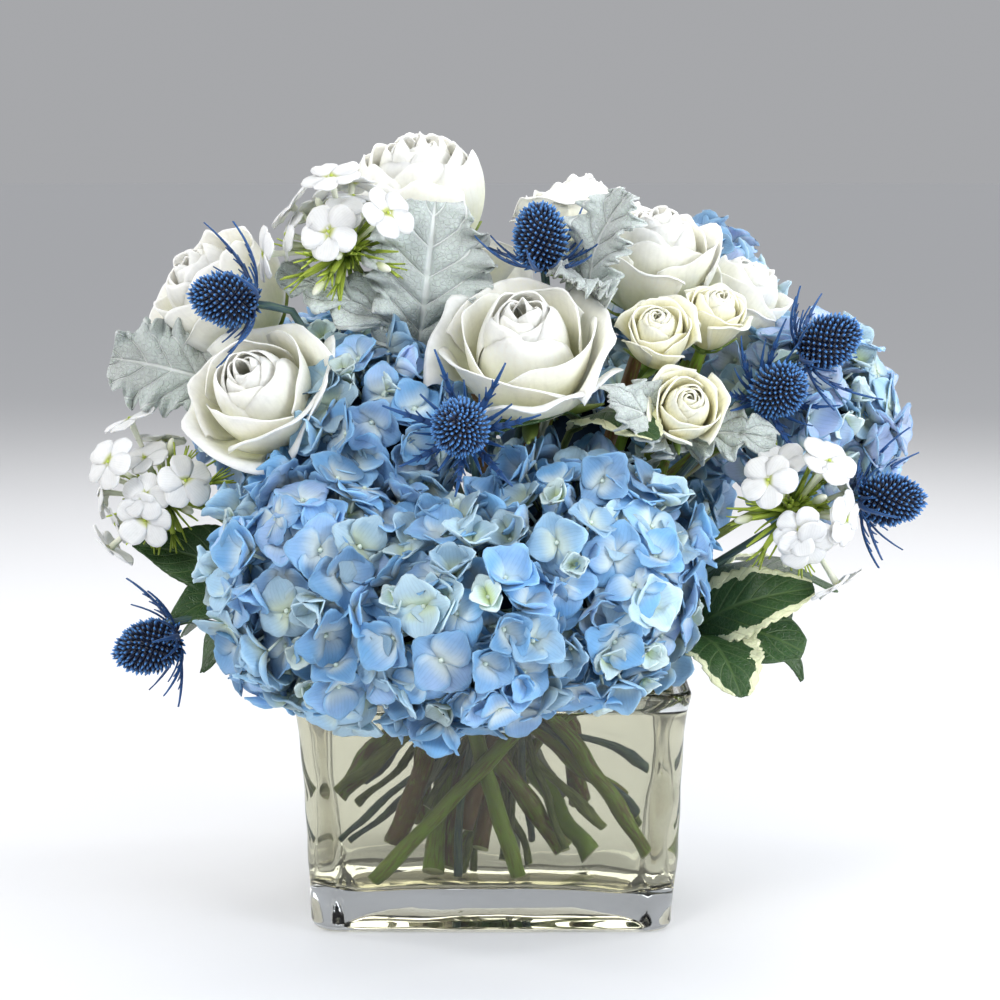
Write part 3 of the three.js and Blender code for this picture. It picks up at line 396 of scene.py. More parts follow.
class Skin:
    """Surfaces gathered into one mesh. Each point has a place, a uv and a mark of four numbers: how far
    along and across its surface it is, the surface's tone and the surface's own draw."""

    def __init__(self):
        self.points, self.uvs, self.marks, self.faces, self.finishes, self.count = [], [], [], [], [], 0

    def add(self, points, along, across, tone, chance, faces, finish):
        shape = points.shape[:-1]
        self.points.append(points.reshape(-1, 3))
        spread = [np.broadcast_to(a, shape).ravel() for a in (along, across, tone, chance)]
        self.uvs.append(np.stack(spread[:2], -1))
        self.marks.append(np.stack(spread, -1))
        for f in faces:
            self.faces.append(f + self.count)
            self.finishes.append(np.full(len(f), finish))
        self.count += int(np.prod(shape))

    def sheet(self, middle, thickness, tone=0.0, chance=0.0, finish=0):
        """Thin closed solids from sheets shaped (n, u, v, 3). Each point goes half the thickness to either
        side along the sheet's normal, so a ring runs over one side and back under the other."""
        n, nu, nv = middle.shape[:3]
        normal = unit(np.cross(np.gradient(middle, axis=1), np.gradient(middle, axis=2))) * thickness / 2
        points = np.concatenate([middle + normal, (middle - normal)[:, :, ::-1]], axis=2)
        along = np.linspace(0, 1, nu)[None, :, None]
        side = np.linspace(0, 1, nv)
        across = np.concatenate([side, side[::-1]])[None, None, :]
        ring = 2 * nv
        i, j = np.meshgrid(np.arange(nu - 1) * ring, np.arange(ring), indexing="ij")
        k = (j + 1) % ring
        walls = np.stack([i + j, i + ring + j, i + ring + k, i + k], -1).reshape(-1, 4)
        j = np.arange(nv - 1)
        start = np.stack([j, j + 1, ring - 2 - j, ring - 1 - j], -1)
        base = np.arange(n)[:, None, None] * nu * ring
        faces = np.vstack([walls, start, start[:, ::-1] + (nu - 1) * ring])
        tone, chance = (np.reshape(a, (-1, 1, 1)) for a in (tone, chance))
        self.add(points, along, across, tone, chance, [(faces + base).reshape(-1, 4)], finish)

    def tube(self, rings, tone=0.0, chance=0.0, finish=0):
        """Closed tubes from rings shaped (n, m, k, 3), which turn anticlockwise seen from their far end. A
        point in the middle of the first and last ring closes each end."""
        n, m, k = rings.shape[:3]
        i, j = np.meshgrid(np.arange(m - 1) * k, np.arange(k), indexing="ij")
        after = (j + 1) % k
        walls = np.stack([i + j, i + after, i + k + after, i + k + j], -1).reshape(-1, 4)
        base = np.arange(n)[:, None, None] * (m * k + 2)
        j = np.arange(k)
        after = (j + 1) % k
        last = (m - 1) * k
        first = np.stack([np.full(k, m * k), after, j], -1)
        end = np.stack([np.full(k, m * k + 1), last + j, last + after], -1)
        ends = [rings[:, :1].mean(2), rings[:, -1:].mean(2)]
        points = np.concatenate([rings.reshape(n, m * k, 3), *ends], axis=1)
        along = np.concatenate([np.repeat(np.linspace(0, 1, m), k), [0, 1]])[None]
        across = np.concatenate([np.tile(np.arange(k) / k, m), [0.5, 0.5]])[None]
        tone, chance = (np.reshape(a, (-1, 1)) for a in (tone, chance))
        faces = [(walls + base).reshape(-1, 4), (np.vstack([first, end]) + base).reshape(-1, 3)]
        self.add(points, along, across, tone, chance, faces, finish)

    def rod(self, course, radius, sides, **marks):
        """Tubes along courses shaped (n, m, 3), whose radius may change along them. Each ring lies across
        the course, and starts in the plane that the course bends in."""
        along = unit(np.gradient(course, axis=1))
        bend = np.cross(along[:, 0], along[:, -1])
        least = np.eye(3)[np.abs(along.mean(1)).argmin(1)]
        straight = np.linalg.norm(bend, axis=1, keepdims=True) < 0.1
        aside = np.where(straight, np.cross(along.mean(1), least), bend)[:, None]
        across = unit(np.cross(np.broadcast_to(aside, along.shape), along))
        third = np.cross(along, across)
        angle = np.arange(sides) * 2 * math.pi / sides
        r = np.broadcast_to(radius, course.shape[:2])[..., None, None]
        ring = across[:, :, None] * np.cos(angle)[:, None] + third[:, :, None] * np.sin(angle)[:, None]
        self.tube(course[:, :, None] + r * ring, **marks)

    def bead(self, at, way, radius, length, sides=6, rows=5, **marks):
        """Small closed eggs: a rod whose radius follows sin(t) while it goes along -cos(t)."""
        t = np.linspace(0.25, math.pi - 0.2, rows)
        way = np.broadcast_to(unit(way), np.shape(at))
        course = at[:, None] - way[:, None] * (np.cos(t) * length / 2)[None, :, None]
        self.rod(course, radius * np.sin(t), sides, **marks)

    def made(self, name, materials, slot, node):
        """Makes the gathered surfaces one smooth-shaded object, which rides on the root and stands for a
        CAD node."""
        points = np.vstack(self.points) * MM
        loops = np.concatenate([f.ravel() for f in self.faces])
        sizes = np.concatenate([np.full(len(f), f.shape[1]) for f in self.faces])
        starts = np.cumsum(sizes) - sizes
        mesh = bpy.data.meshes.new(name)
        mesh.vertices.add(len(points))
        mesh.vertices.foreach_set("co", points.ravel().astype(np.float32))
        mesh.loops.add(len(loops))
        mesh.loops.foreach_set("vertex_index", loops.astype(np.int32))
        mesh.polygons.add(len(sizes))
        mesh.polygons.foreach_set("loop_start", starts.astype(np.int32))
        mesh.polygons.foreach_set("material_index", np.concatenate(self.finishes).astype(np.int32))
        mesh.polygons.foreach_set("use_smooth", np.ones(len(sizes), bool))
        mesh.uv_layers.new(name="UVMap").data.foreach_set("uv", np.vstack(self.uvs)[loops].ravel())
        marks = mesh.attributes.new("marks", "FLOAT_COLOR", "POINT")
        marks.data.foreach_set("color", np.vstack(self.marks).ravel().astype(np.float32))
        for material in materials:
            mesh.materials.append(material)
        mesh.update(calc_edges=True)
        mesh.validate()
        piece = bpy.data.objects.new(name, mesh)
        bpy.context.scene.collection.objects.link(piece)
        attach(piece, "root")
        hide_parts(node)


# ------------------------------------------------------------------ shader groups and materials


class Graph:
    """Adds nodes to a material or group. An input is given by its name, or as i and its number."""

    def __init__(self, tree):
        self.tree = tree

    def node(self, kind, settings=None, **inputs):
        made = self.tree.nodes.new(kind)
        for key, value in (settings or {}).items():
            setattr(made, key, value)
        for key, value in inputs.items():
            numbered = key[0] == "i" and key[1:].isdigit()
            self.put(made.inputs[int(key[1:]) if numbered else key.replace("_", " ")], value)
        return made

    def put(self, slot, value):
        """Links a socket to an input, or sets the input to a number or colour."""
        if isinstance(value, bpy.types.NodeSocket):
            self.tree.links.new(value, slot)
        elif hasattr(value, "__len__") and len(value) == 3 and slot.type == "RGBA":
            slot.default_value = (*value, 1)
        else:
            slot.default_value = value

    def math(self, operation, a, b=0.0, clamp=False):
        settings = {"operation": operation, "use_clamp": clamp}
        return self.node("ShaderNodeMath", settings, i0=a, i1=b).outputs[0]

    def plus(self, a, b):
        return self.math("ADD", a, b)

    def minus(self, a, b):
        return self.math("SUBTRACT", a, b)

    def times(self, a, b):
        return self.math("MULTIPLY", a, b)

    def scaled(self, value, factor, offset, clamp=False):
        """value times factor plus offset."""
        settings = {"operation": "MULTIPLY_ADD", "use_clamp": clamp}
        return self.node("ShaderNodeMath", settings, i0=value, i1=factor, i2=offset).outputs[0]

    def ramp(self, value, low, high):
        """0 at low, 1 at high, smooth between them."""
        settings = {"interpolation_type": "SMOOTHSTEP"}
        ends = {"From_Min": low, "From_Max": high}
        return self.node("ShaderNodeMapRange", settings, Value=value, **ends).outputs[0]

    def blend(self, share, a, b):
        """Colour a at share 0 and colour b at share 1."""
        return self.node("ShaderNodeMix", {"data_type": "RGBA"}, i0=share, i6=a, i7=b).outputs[2]

    def noise(self, vector, scale, detail=2.0):
        return self.node("ShaderNodeTexNoise", None, Vector=vector, Scale=scale, Detail=detail).outputs[0]


def new_group(name, inputs, outputs):
    """An empty shader group with its named sockets. Each is a name, a socket kind and a default."""
    group = bpy.data.node_groups.new(name, "ShaderNodeTree")
    for label, kind, default in inputs:
        socket = group.interface.new_socket(name=label, in_out="INPUT", socket_type=kind)
        socket.default_value = (*default, 1) if kind == "NodeSocketColor" else default
    for label, kind in outputs:
        group.interface.new_socket(name=label, in_out="OUTPUT", socket_type=kind)
    given = group.nodes.new("NodeGroupInput").outputs
    return group, Graph(group), given, group.nodes.new("NodeGroupOutput").inputs


VEIN_SLANT = 0.3  # how far forward a leaf's side veins reach at its margin, as a share of its length
CUT_COLOUR = (0.42, 0.46, 0.24)  # fresh wood where a stem is cut
CUT_SHARE = 0.002  # how much of a stem's length is its cut foot
SHADOW_PASS = 0.6  # the share of a lamp's light that clear glass and water let through
# How far red, green and blue light go under the surface, in shares of the depth.
PETAL_GLOW, LEAF_GLOW = (1.0, 0.9, 0.75), (0.6, 1.0, 0.4)
STEM_GLOW, SMALL_GLOW = (0.6, 1.0, 0.3), (0.7, 0.9, 0.8)
COLOUR, NUMBER, VECTOR = "NodeSocketColor", "NodeSocketFloat", "NodeSocketVector"


def petal_group():
    """Petal colour: from base through body to rim along the petal, with fine veins that fan out across it, a
    little mottling and each petal's own lightness."""
    colours = [(label, COLOUR, (1, 1, 1)) for label in ("Base", "Body", "Rim")]
    sizes = [("Base Reach", NUMBER, 0.4), ("Rim Width", NUMBER, 0.2), ("Veins", NUMBER, 0.2)]
    marks = [(label, NUMBER, 0.5) for label in ("Along", "Across", "Chance")]
    inputs = [*colours, *sizes, *marks, ("Place", VECTOR, (0, 0, 0))]
    group, g, given, out = new_group("petal colour", inputs, [("Color", COLOUR), ("Height", NUMBER)])
    mottle = g.noise(given["Place"], 95.0)
    fine = g.noise(given["Place"], 420.0)
    along = g.plus(given["Along"], g.scaled(mottle, 0.4, -0.2))
    based = g.blend(g.ramp(along, 0.02, given["Base Reach"]), given["Base"], given["Body"])
    side = g.math("ABSOLUTE", g.scaled(given["Across"], 2.0, -1.0))
    outer = g.math("MAXIMUM", given["Along"], side)
    inner = g.minus(1.0, given["Rim Width"])
    edge = g.ramp(g.plus(outer, g.scaled(mottle, 0.3, -0.15)), inner, 1.1)
    rimmed = g.blend(edge, based, given["Rim"])
    fan = g.math("SINE", g.times(g.plus(given["Across"], g.times(mottle, 0.06)), 70.0))
    vein = g.times(g.ramp(fan, 0.3, 1.0), g.ramp(given["Along"], 0.08, 0.4))
    dimmer = g.minus(1.0, g.times(vein, given["Veins"]))
    own = g.scaled(given["Chance"], 0.46, 0.62)
    light = g.times(g.times(dimmer, own), g.scaled(fine, 0.16, 0.92))
    multiply = {"data_type": "RGBA", "blend_type": "MULTIPLY"}
    g.put(out["Color"], g.node("ShaderNodeMix", multiply, i0=1.0, i6=rimmed, i7=light).outputs[2])
    g.put(out["Height"], g.minus(g.times(fine, 0.6), g.times(vein, 0.5)))
    return group


def leaf_group():
    """Leaf colour: a midrib, side veins that slant forward from it and a net of small ones between them, on a
    mottled blade, with a ragged margin in its own colour."""
    colours = [(label, COLOUR, (1, 1, 1)) for label in ("Blade", "Vein", "Margin")]
    sizes = [("Margin Width", NUMBER, 0.0), ("Vein Count", NUMBER, 6.0), ("Vein Strength", NUMBER, 0.6)]
    marks = [("Net", NUMBER, 0.3), ("Along", NUMBER, 0.5), ("Across", NUMBER, 0.5)]
    inputs = [*colours, *sizes, *marks, ("Place", VECTOR, (0, 0, 0))]
    group, g, given, out = new_group("leaf colour", inputs, [("Color", COLOUR), ("Height", NUMBER)])
    side = g.math("ABSOLUTE", g.scaled(given["Across"], 2.0, -1.0))
    slant = g.minus(given["Along"], g.times(side, VEIN_SLANT))
    phase = g.math("FRACT", g.times(slant, given["Vein Count"]))
    lateral = g.ramp(g.math("ABSOLUTE", g.minus(phase, 0.5)), 0.10, 0.02)
    midrib = g.ramp(side, 0.08, 0.02)
    cells = {"feature": "DISTANCE_TO_EDGE"}
    net = g.node("ShaderNodeTexVoronoi", cells, Vector=given["Place"], Scale=460.0)
    mesh = g.times(g.ramp(net.outputs[0], 0.12, 0.0), given["Net"])
    vein = g.math("MAXIMUM", g.math("MAXIMUM", lateral, midrib), mesh)
    mottle = g.noise(given["Place"], 140.0, 3.0)
    toned = g.node("ShaderNodeHueSaturation", None, Value=g.scaled(mottle, 0.8, 0.6), Color=given["Blade"])
    veined = g.blend(g.times(vein, given["Vein Strength"]), toned.outputs[0], given["Vein"])
    ragged = g.plus(side, g.scaled(mottle, 0.7, -0.35))
    margin = g.math("GREATER_THAN", ragged, g.minus(1.0, given["Margin Width"]))
    wanted = g.math("GREATER_THAN", given["Margin Width"], 0.01)
    g.put(out["Color"], g.blend(g.times(margin, wanted), veined, given["Margin"]))
    g.put(out["Height"], g.plus(g.times(vein, -1.0), g.times(mottle, 0.35)))
    return group


def placed_group(g, name, build, values):
    """A shared group, built when it is first used, placed in a material with the given values."""
    group = g.node("ShaderNodeGroup", {"node_tree": bpy.data.node_groups.get(name) or build()})
    for label, value in values.items():
        g.put(group.inputs[label], value)
    return group.outputs


def begin(name):
    """A new material: its graph, its shader, its marks apart and its Object coordinates."""
    material = bpy.data.materials.new(name)
    material.use_nodes = True
    g = Graph(material.node_tree)
    shader = material.node_tree.nodes["Principled BSDF"]
    marks = g.node("ShaderNodeAttribute", {"attribute_name": "marks", "attribute_type": "GEOMETRY"})
    parts = g.node("ShaderNodeSeparateColor", None, Color=marks.outputs["Color"])
    place = g.node("ShaderNodeTexCoord").outputs["Object"]
    return material, g, shader, (*parts.outputs, marks.outputs["Alpha"]), place


def bumped(g, shader, height, strength, distance):
    """Small relief from a height."""
    bump = g.node("ShaderNodeBump", None, Height=height, Strength=strength, Distance=distance)
    g.put(shader.inputs["Normal"], bump.outputs[0])


def soft(shader, roughness, subsurface, radius, sheen=0.0, depth=0.0025):
    """Petal-like light: a little passes under the surface."""
    shader.inputs["Roughness"].default_value = roughness
    shader.inputs["Subsurface Weight"].default_value = subsurface
    shader.inputs["Subsurface Radius"].default_value = radius
    shader.inputs["Subsurface Scale"].default_value = depth
    shader.inputs["Specular IOR Level"].default_value = 0.35
    shader.inputs["Sheen Weight"].default_value = sheen
    shader.inputs["Sheen Roughness"].default_value = 0.5


def petal_material(name, colours, reach, width, veins, roughness=0.5, glow=0.3, depth=0.0025, tones=None):
    """A petal from its base, body and rim colours. The base colour comes in at its foot. Where tones is
    given, it is a second body colour that comes in with the petal's tone, and the base and body colours of a
    young petal, which has a tone below 0."""
    material, g, shader, (along, across, tone, chance), place = begin(name)
    base, body, rim = colours
    if tones is not None:
        second, young_base, young_body = tones
        drift = g.scaled(g.noise(place, 28.0), 1.3, -0.65)
        body = g.blend(g.math("ADD", tone, drift, clamp=True), body, second)
        young = g.scaled(tone, -1.0, 0.0, clamp=True)
        body = g.blend(young, body, young_body)
        base = g.blend(young, base, young_base)
        rim = g.blend(young, rim, young_body)
    values = {"Base": base, "Body": body, "Rim": rim, "Base Reach": reach, "Rim Width": width, "Veins": veins}
    values |= {"Along": along, "Across": across, "Chance": chance, "Place": place}
    petal = placed_group(g, "petal colour", petal_group, values)
    g.put(shader.inputs["Base Color"], petal["Color"])
    bumped(g, shader, petal["Height"], 0.22, 0.0004)
    soft(shader, roughness, glow, PETAL_GLOW, 0.08, depth)
    return material


def leaf_material(name, colours, count, strength, net, roughness, bump, margin=0.0, under=None, sheen=0.0):
    """A leaf from its blade, vein and margin colours. Its margin widens with its tone, and patches of the
    underside's colour show where one is given."""
    material, g, shader, (along, across, tone, _), place = begin(name)
    values = dict(zip(("Blade", "Vein", "Margin"), colours))
    values |= {"Margin Width": g.times(tone, margin), "Vein Count": count, "Vein Strength": strength}
    values |= {"Net": net, "Along": along, "Across": across, "Place": place}
    leaf = placed_group(g, "leaf colour", leaf_group, values)
    colour = leaf["Color"]
    if under is not None:
        patch = g.ramp(g.noise(place, 26.0), 0.48, 0.72)
        colour = g.blend(g.times(patch, 0.5), colour, under)
    g.put(shader.inputs["Base Color"], colour)
    bumped(g, shader, leaf["Height"], bump, 0.0008)
    soft(shader, roughness, 0.05, LEAF_GLOW, sheen)
    return material


def streaked_material(name, dark, light, roughness):
    """Stems and stalks: long streaks along the stem between two colours, dotted with small pores, and paler
    where the foot is cut."""
    material, g, shader, (along, across, _, chance), place = begin(name)
    streak = g.node("ShaderNodeCombineXYZ", None, X=g.times(along, 14.0), Y=g.times(across, 9.0))
    grain = g.noise(streak.outputs[0], 2.2, 4.0)
    lean = g.math("ADD", g.ramp(grain, 0.35, 0.68), g.scaled(chance, 1.6, -0.8), clamp=True)
    pores = g.node("ShaderNodeTexVoronoi", None, Vector=place, Scale=520.0)
    spotted = g.times(g.ramp(pores.outputs[0], 0.28, 0.1), 0.35)
    skin = g.blend(spotted, g.blend(lean, dark, light), dark)
    cut = g.math("LESS_THAN", along, CUT_SHARE)
    g.put(shader.inputs["Base Color"], g.blend(cut, skin, CUT_COLOUR))
    bumped(g, shader, grain, 0.3, 0.0006)
    soft(shader, roughness, 0.06, STEM_GLOW)
    return material


def mixed_material(name, colours, low, high, roughness, subsurface=0.05, sheen=0.0):
    """Two colours that change along each small part, from low to high, with a light mottling."""
    material, g, shader, (along, *_), place = begin(name)
    mottle = g.scaled(g.noise(place, 260.0), 0.5, -0.25)
    share = g.ramp(g.plus(along, mottle), low, high)
    g.put(shader.inputs["Base Color"], g.blend(share, *colours))
    bumped(g, shader, g.noise(place, 900.0), 0.2, 0.0003)
    soft(shader, roughness, subsurface, SMALL_GLOW, sheen)
    return material


def clear_material(name, colour, ior, shine, bump_scale, bump_strength):
    """Clear glass or water. Most light passes it on its way to what stands inside, and a share of the full
    reflection, its shine, is left at each face, because glass and water that touch reflect little."""
    material, g, shader, _, place = begin(name)
    shader.inputs["Base Color"].default_value = (*colour, 1)
    shader.inputs["Roughness"].default_value = 0.0
    shader.inputs["IOR"].default_value = ior
    shader.inputs["Specular Tint"].default_value = (shine, shine, shine, 1)
    shader.inputs["Transmission Weight"].default_value = 1.0
    bumped(g, shader, g.noise(place, bump_scale), bump_strength, 0.001)
    shadow = g.node("ShaderNodeLightPath").outputs["Is Shadow Ray"]
    g.put(shader.inputs["Alpha"], g.scaled(shadow, -SHADOW_PASS, 1.0))
    return material


# ------------------------------------------------------------------ vase and water

CORNER_STEPS, SIDE_STEPS = 14, 24
CORNER, FOOT_ROUND, INNER_ROUND = 13, 5, 9  # the outer corners' radius and the rounds at the foot and floor
INNER_PHASE, INNER_CORNER = 2.1, 17.0  # the inside's waves and its rounder corners
INNER_FOOT = 27  # where the straight inner walls end, just above the round into the floor
WATER_TOUCH, WATER_CLIMB = -0.12, 1.4  # how far the water reaches into the glass and climbs it


def vase_half(t):
    """Half the vase's length and width at t of its height: they grow evenly from foot to rim."""
    return 80 + 7 * t, 56 + 6 * t


def outline_directions():
    """Round the vase: where each point's corner centre is, from -1 to 1 on each axis, and the point's way
    out of it. Arcs turn the way out and keep the centre; straight sides move the centre and keep the way."""
    sign = np.array([[1, 1], [-1, 1], [-1, -1], [1, -1]], float)
    turn = np.linspace(0, 1, CORNER_STEPS)
    slide = np.linspace(0, 1, SIDE_STEPS + 2)[1:-1, None]
    centres, angles = [], []
    for corner in range(4):
        ahead = sign[(corner + 1) % 4]
        centres += [np.repeat(sign[corner][None], CORNER_STEPS, 0)]
        centres += [sign[corner] * (1 - slide) + ahead * slide]
        angles += [(corner + turn) * math.pi / 2, np.full(SIDE_STEPS, (corner + 1) * math.pi / 2)]
    angle = np.concatenate(angles)
    return np.vstack(centres), np.stack([np.cos(angle), np.sin(angle)], -1)


def vase_rings(heights, insets, wave, phase=0.0, corner=3.0):
    """Rings of the vase's rounded rectangle at heights, moved in by insets. The walls lean out evenly and
    swell and dip by a sum of slow and quick waves, whose phase differs between the outside and the inside,
    so that the glass is nowhere quite even."""
    centre, way = outline_directions()
    z = np.asarray(heights, float)[:, None]
    inset = np.asarray(insets, float)[:, None]
    t = z / VASE_HEIGHT
    half = np.stack([side - inset for side in vase_half(t)], -1)
    radius = np.maximum(CORNER - inset, corner)[..., None]
    flat = centre * np.maximum(half - radius, 0) + way * np.minimum(radius, half)
    angle = np.arctan2(flat[..., 1], flat[..., 0])
    swell = np.sin(2 * angle + 0.06 * z + phase) + 0.6 * np.sin(5 * angle - 0.09 * z + 1 - phase)
    quick = 0.4 * np.sin(9 * angle + 0.05 * z + 2 * phase)
    swell = swell + quick + 0.25 * np.sin(17 * angle - 0.12 * z + phase)
    swell = swell + 0.3 * np.sin(0.28 * z + 2 * np.sin(angle) + phase)
    fade = smooth(t, 0.0, 0.07) * smooth(t, 1.0, 0.9)
    flat = flat + way * (wave * fade * (swell * 0.5 - 1))[..., None]
    return np.concatenate([flat, np.broadcast_to(z[..., None], (*flat.shape[:2], 1))], -1)


def inner_profile(clear):
    """Heights and insets from the foot of the inner wall down its round and across the floor."""
    down = np.linspace(0, math.pi / 2, 8)
    z = FLOOR_DEPTH + clear + INNER_ROUND * (1 - np.sin(down))
    inset = WALL + clear + INNER_ROUND * (1 - np.cos(down))
    across = np.array([22, 32, 42, 50])
    return np.concatenate([z, np.full(4, FLOOR_DEPTH + clear)]), np.concatenate([inset, across])


def crowned(rings, crown):
    """The low inner rings lifted in the middle of the vase, most on the floor: by 1 - (x / 75)² of the
    crown."""
    lift = crown * np.clip(1 - (rings[..., 0] / 75) ** 2, 0, 1) * smooth(rings[..., 2], 30, FLOOR_DEPTH)
    rings[..., 2] += lift
    return rings


def make_glass(settings):
    """The cast glass: out from under its hollowed foot, up the outside, over the round rim, down the inside
    and across the floor."""
    wave, crown = settings.wave / MM, settings.crown / MM
    hollow_z = [4.2, 4.1, 3.7, 3.0, 1.9, 0.6, 0]
    hollow_inset = [46, 32, 24, 18.5, 13.5, 9.5, 7.5]
    foot = np.linspace(0, math.pi / 2, 6)
    wall = np.linspace(9, VASE_HEIGHT - 6, 26)
    rim, rim_round = np.linspace(0, math.pi, 9), WALL / 2
    outer_z = [*hollow_z, *(FOOT_ROUND * (1 - np.cos(foot))), *wall]
    outer_inset = [*hollow_inset, *(FOOT_ROUND * (1 - np.sin(foot))), *(0 * wall)]
    outer_z += [*(VASE_HEIGHT - rim_round + rim_round * np.sin(rim))]
    outer_inset += [*(rim_round * (1 - np.cos(rim)))]
    inside = np.linspace(VASE_HEIGHT - 8, INNER_FOOT, 22)
    low_z, low_inset = inner_profile(0)
    inner_z, inner_inset = [*inside, *low_z], [*(WALL + 0 * inside), *low_inset]
    inner = crowned(vase_rings(inner_z, inner_inset, wave, INNER_PHASE, INNER_CORNER), crown)
    skin = Skin()
    skin.tube(np.vstack([vase_rings(outer_z, outer_inset, wave), inner])[None])
    finish = {"ior": 1.5, "shine": 0.7, "bump_scale": 34.0, "bump_strength": 0.22}
    glass = clear_material("cast glass", settings.glass, **finish)
    skin.made("glass_vase", [glass], "glass", "vase")


def make_water(settings):
    """The water: it meets the glass all round, climbs it a little at its surface and follows the floor. Its
    surface falls away from the glass by exp(-inset / 1.6) of the climb."""
    wave, crown = settings.wave / MM, settings.crown / MM
    low_z, low_inset = inner_profile(WATER_TOUCH)
    side = np.linspace(INNER_FOOT, WATER_LEVEL, 20)
    top_inset = np.array([5.4, 6.2, 7.6, 10, 14, 22, 34, 46])
    top_z = WATER_LEVEL + WATER_CLIMB * np.exp(-(top_inset - WALL) / 1.6)
    z = [*low_z[::-1], *side, WATER_LEVEL + WATER_CLIMB, *top_z]
    inset = [*low_inset[::-1], *(WALL + WATER_TOUCH + 0 * side), WALL + WATER_TOUCH, *top_inset]
    skin = Skin()
    skin.tube(crowned(vase_rings(z, inset, wave, INNER_PHASE, INNER_CORNER), crown)[None])
    finish = {"ior": 1.333, "shine": 0.2, "bump_scale": 9.0, "bump_strength": 0.02}
    water = clear_material("water", settings.water, **finish)
    skin.made("water_body", [water], "water", "water")


# ------------------------------------------------------------------ stems


FORK, FORK_STEPS = 17, 16  # where on its course the spray roses' stem forks, and the steps of its arms


def stem_tube(skin, course, radius, chance, finish=0):
    """A stem along its course. It thins by 0.12 of its radius from its foot to its head, and swells by a
    tenth at each leaf joint: 1 + 0.10 exp(-d² / 0.004), where d is how far the joint is."""
    t = np.linspace(0, 1, len(course))
    joint = 1 + 0.10 * np.exp(-(((t * 3.1 + chance * 5) % 1 - 0.5) ** 2) / 0.004)
    thick = radius * joint * (1.04 - 0.12 * t)
    skin.rod(course[None], thick[None], 10, chance=chance, finish=finish)


def add_stem(skin, node, kind, at, faces, depth, straight, chance, finish=0):
    """The stem in a CAD node, up to the back of its head."""
    radius = STEM_RADII[kind]
    course = stem_course(node, radius, way_into(at, faces, depth, straight, radius))
    stem_tube(skin, course, radius, chance, finish)


def make_stems(settings):
    """The stems of the hydrangeas and roses, and the forked one of the spray roses, one object each."""
    bark = streaked_material("stem skin", settings.brown, settings.green, 0.42)
    kinds = [("hydrangea", HYDRANGEAS, HYDRANGEA_DEPTH, 14), ("rose", ROSES, ROSE_DEPTH, 12)]
    for kind, plants, share, straight in kinds:
        for index, (name, plant) in enumerate(plants.items()):
            skin = Skin()
            node, depth = name + "_stem", share * plant["reach"]
            chance = float(draw(STEM_DRAWS + index * 3 + len(kind)))
            add_stem(skin, node, kind, plant["at"], plant["faces"], depth, straight, chance)
            skin.made(name + "_stalk", [bark], "stem", node)
    radius = STEM_RADII["spray"]
    left, right, low = (
        way_into(b["at"], b["faces"], SPRAY_DEPTH * b["reach"], 14, radius) for b in SPRAY_ROSES.values()
    )
    course = stem_course("spray_rose_stem", radius, right)
    skin = Skin()
    stem_tube(skin, course, radius, 0.7)
    for way in (left, low):
        stem_tube(skin, resampled([course[FORK], *way], FORK_STEPS), radius * 0.8, 0.6)
    skin.made("spray_rose_stalks", [bark], "stem", "spray_rose_stem")


# ------------------------------------------------------------------ hydrangeas

# Layers of a mophead: the share of its reach where its florets sit, florets per square millimetre of reach
# and the widest angle from where the head faces.
HEAD_LAYERS = [(0.87, 0.037, 2.3), (0.70, 0.020, 2.15)]
SEPAL_STATIONS = (0, 0.2, 0.42, 0.65, 0.86, 1.0)
PAIR_STEP = 0.6  # how far every second sepal lies above its neighbours
YOUNG_SHARE, PALE_SHARE = 0.21, 0.48  # the florets below these draws are young, and those between paler
BEAD_COLOURS = (0.42, 0.52, 0.26), (0.62, 0.74, 0.66)
# Near-black colours of the ball in each head: painted shade that fills the head's depths between the florets.
SHADE_CORE_COLOURS = (0.006, 0.02, 0.05), (0.01, 0.03, 0.05)


def own_share(points, name):
    """How far each point is inside its head's share of the space, which ends at the flat face where two
    heads would meet, in millimetres. It is negative past that face."""
    heads = {**HYDRANGEAS, **ROSES, **SPRAY_ROSES}
    at, reach = np.array(heads[name]["at"], float), heads[name]["reach"]
    inside = np.full(len(points), 1e3)
    for other, head in heads.items():
        if other == name:
            continue
        apart = np.array(head["at"], float) - at
        d = np.linalg.norm(apart)
        share = (d * d + reach**2 - head["reach"] ** 2) / (2 * d)
        if share < 1.3 * reach:
            inside = np.minimum(inside, share - (points - at) @ apart / d)
    return inside


def outside_vase(points, clear):
    """True for points that are clear of the vase's block."""
    low = points[:, 2] < VASE_HEIGHT + clear
    long, wide = vase_half(np.clip(points[:, 2] / VASE_HEIGHT, 0, 1))
    within = (np.abs(points[:, 0]) < long + clear) & (np.abs(points[:, 1]) < wide + clear)
    return ~(low & within)


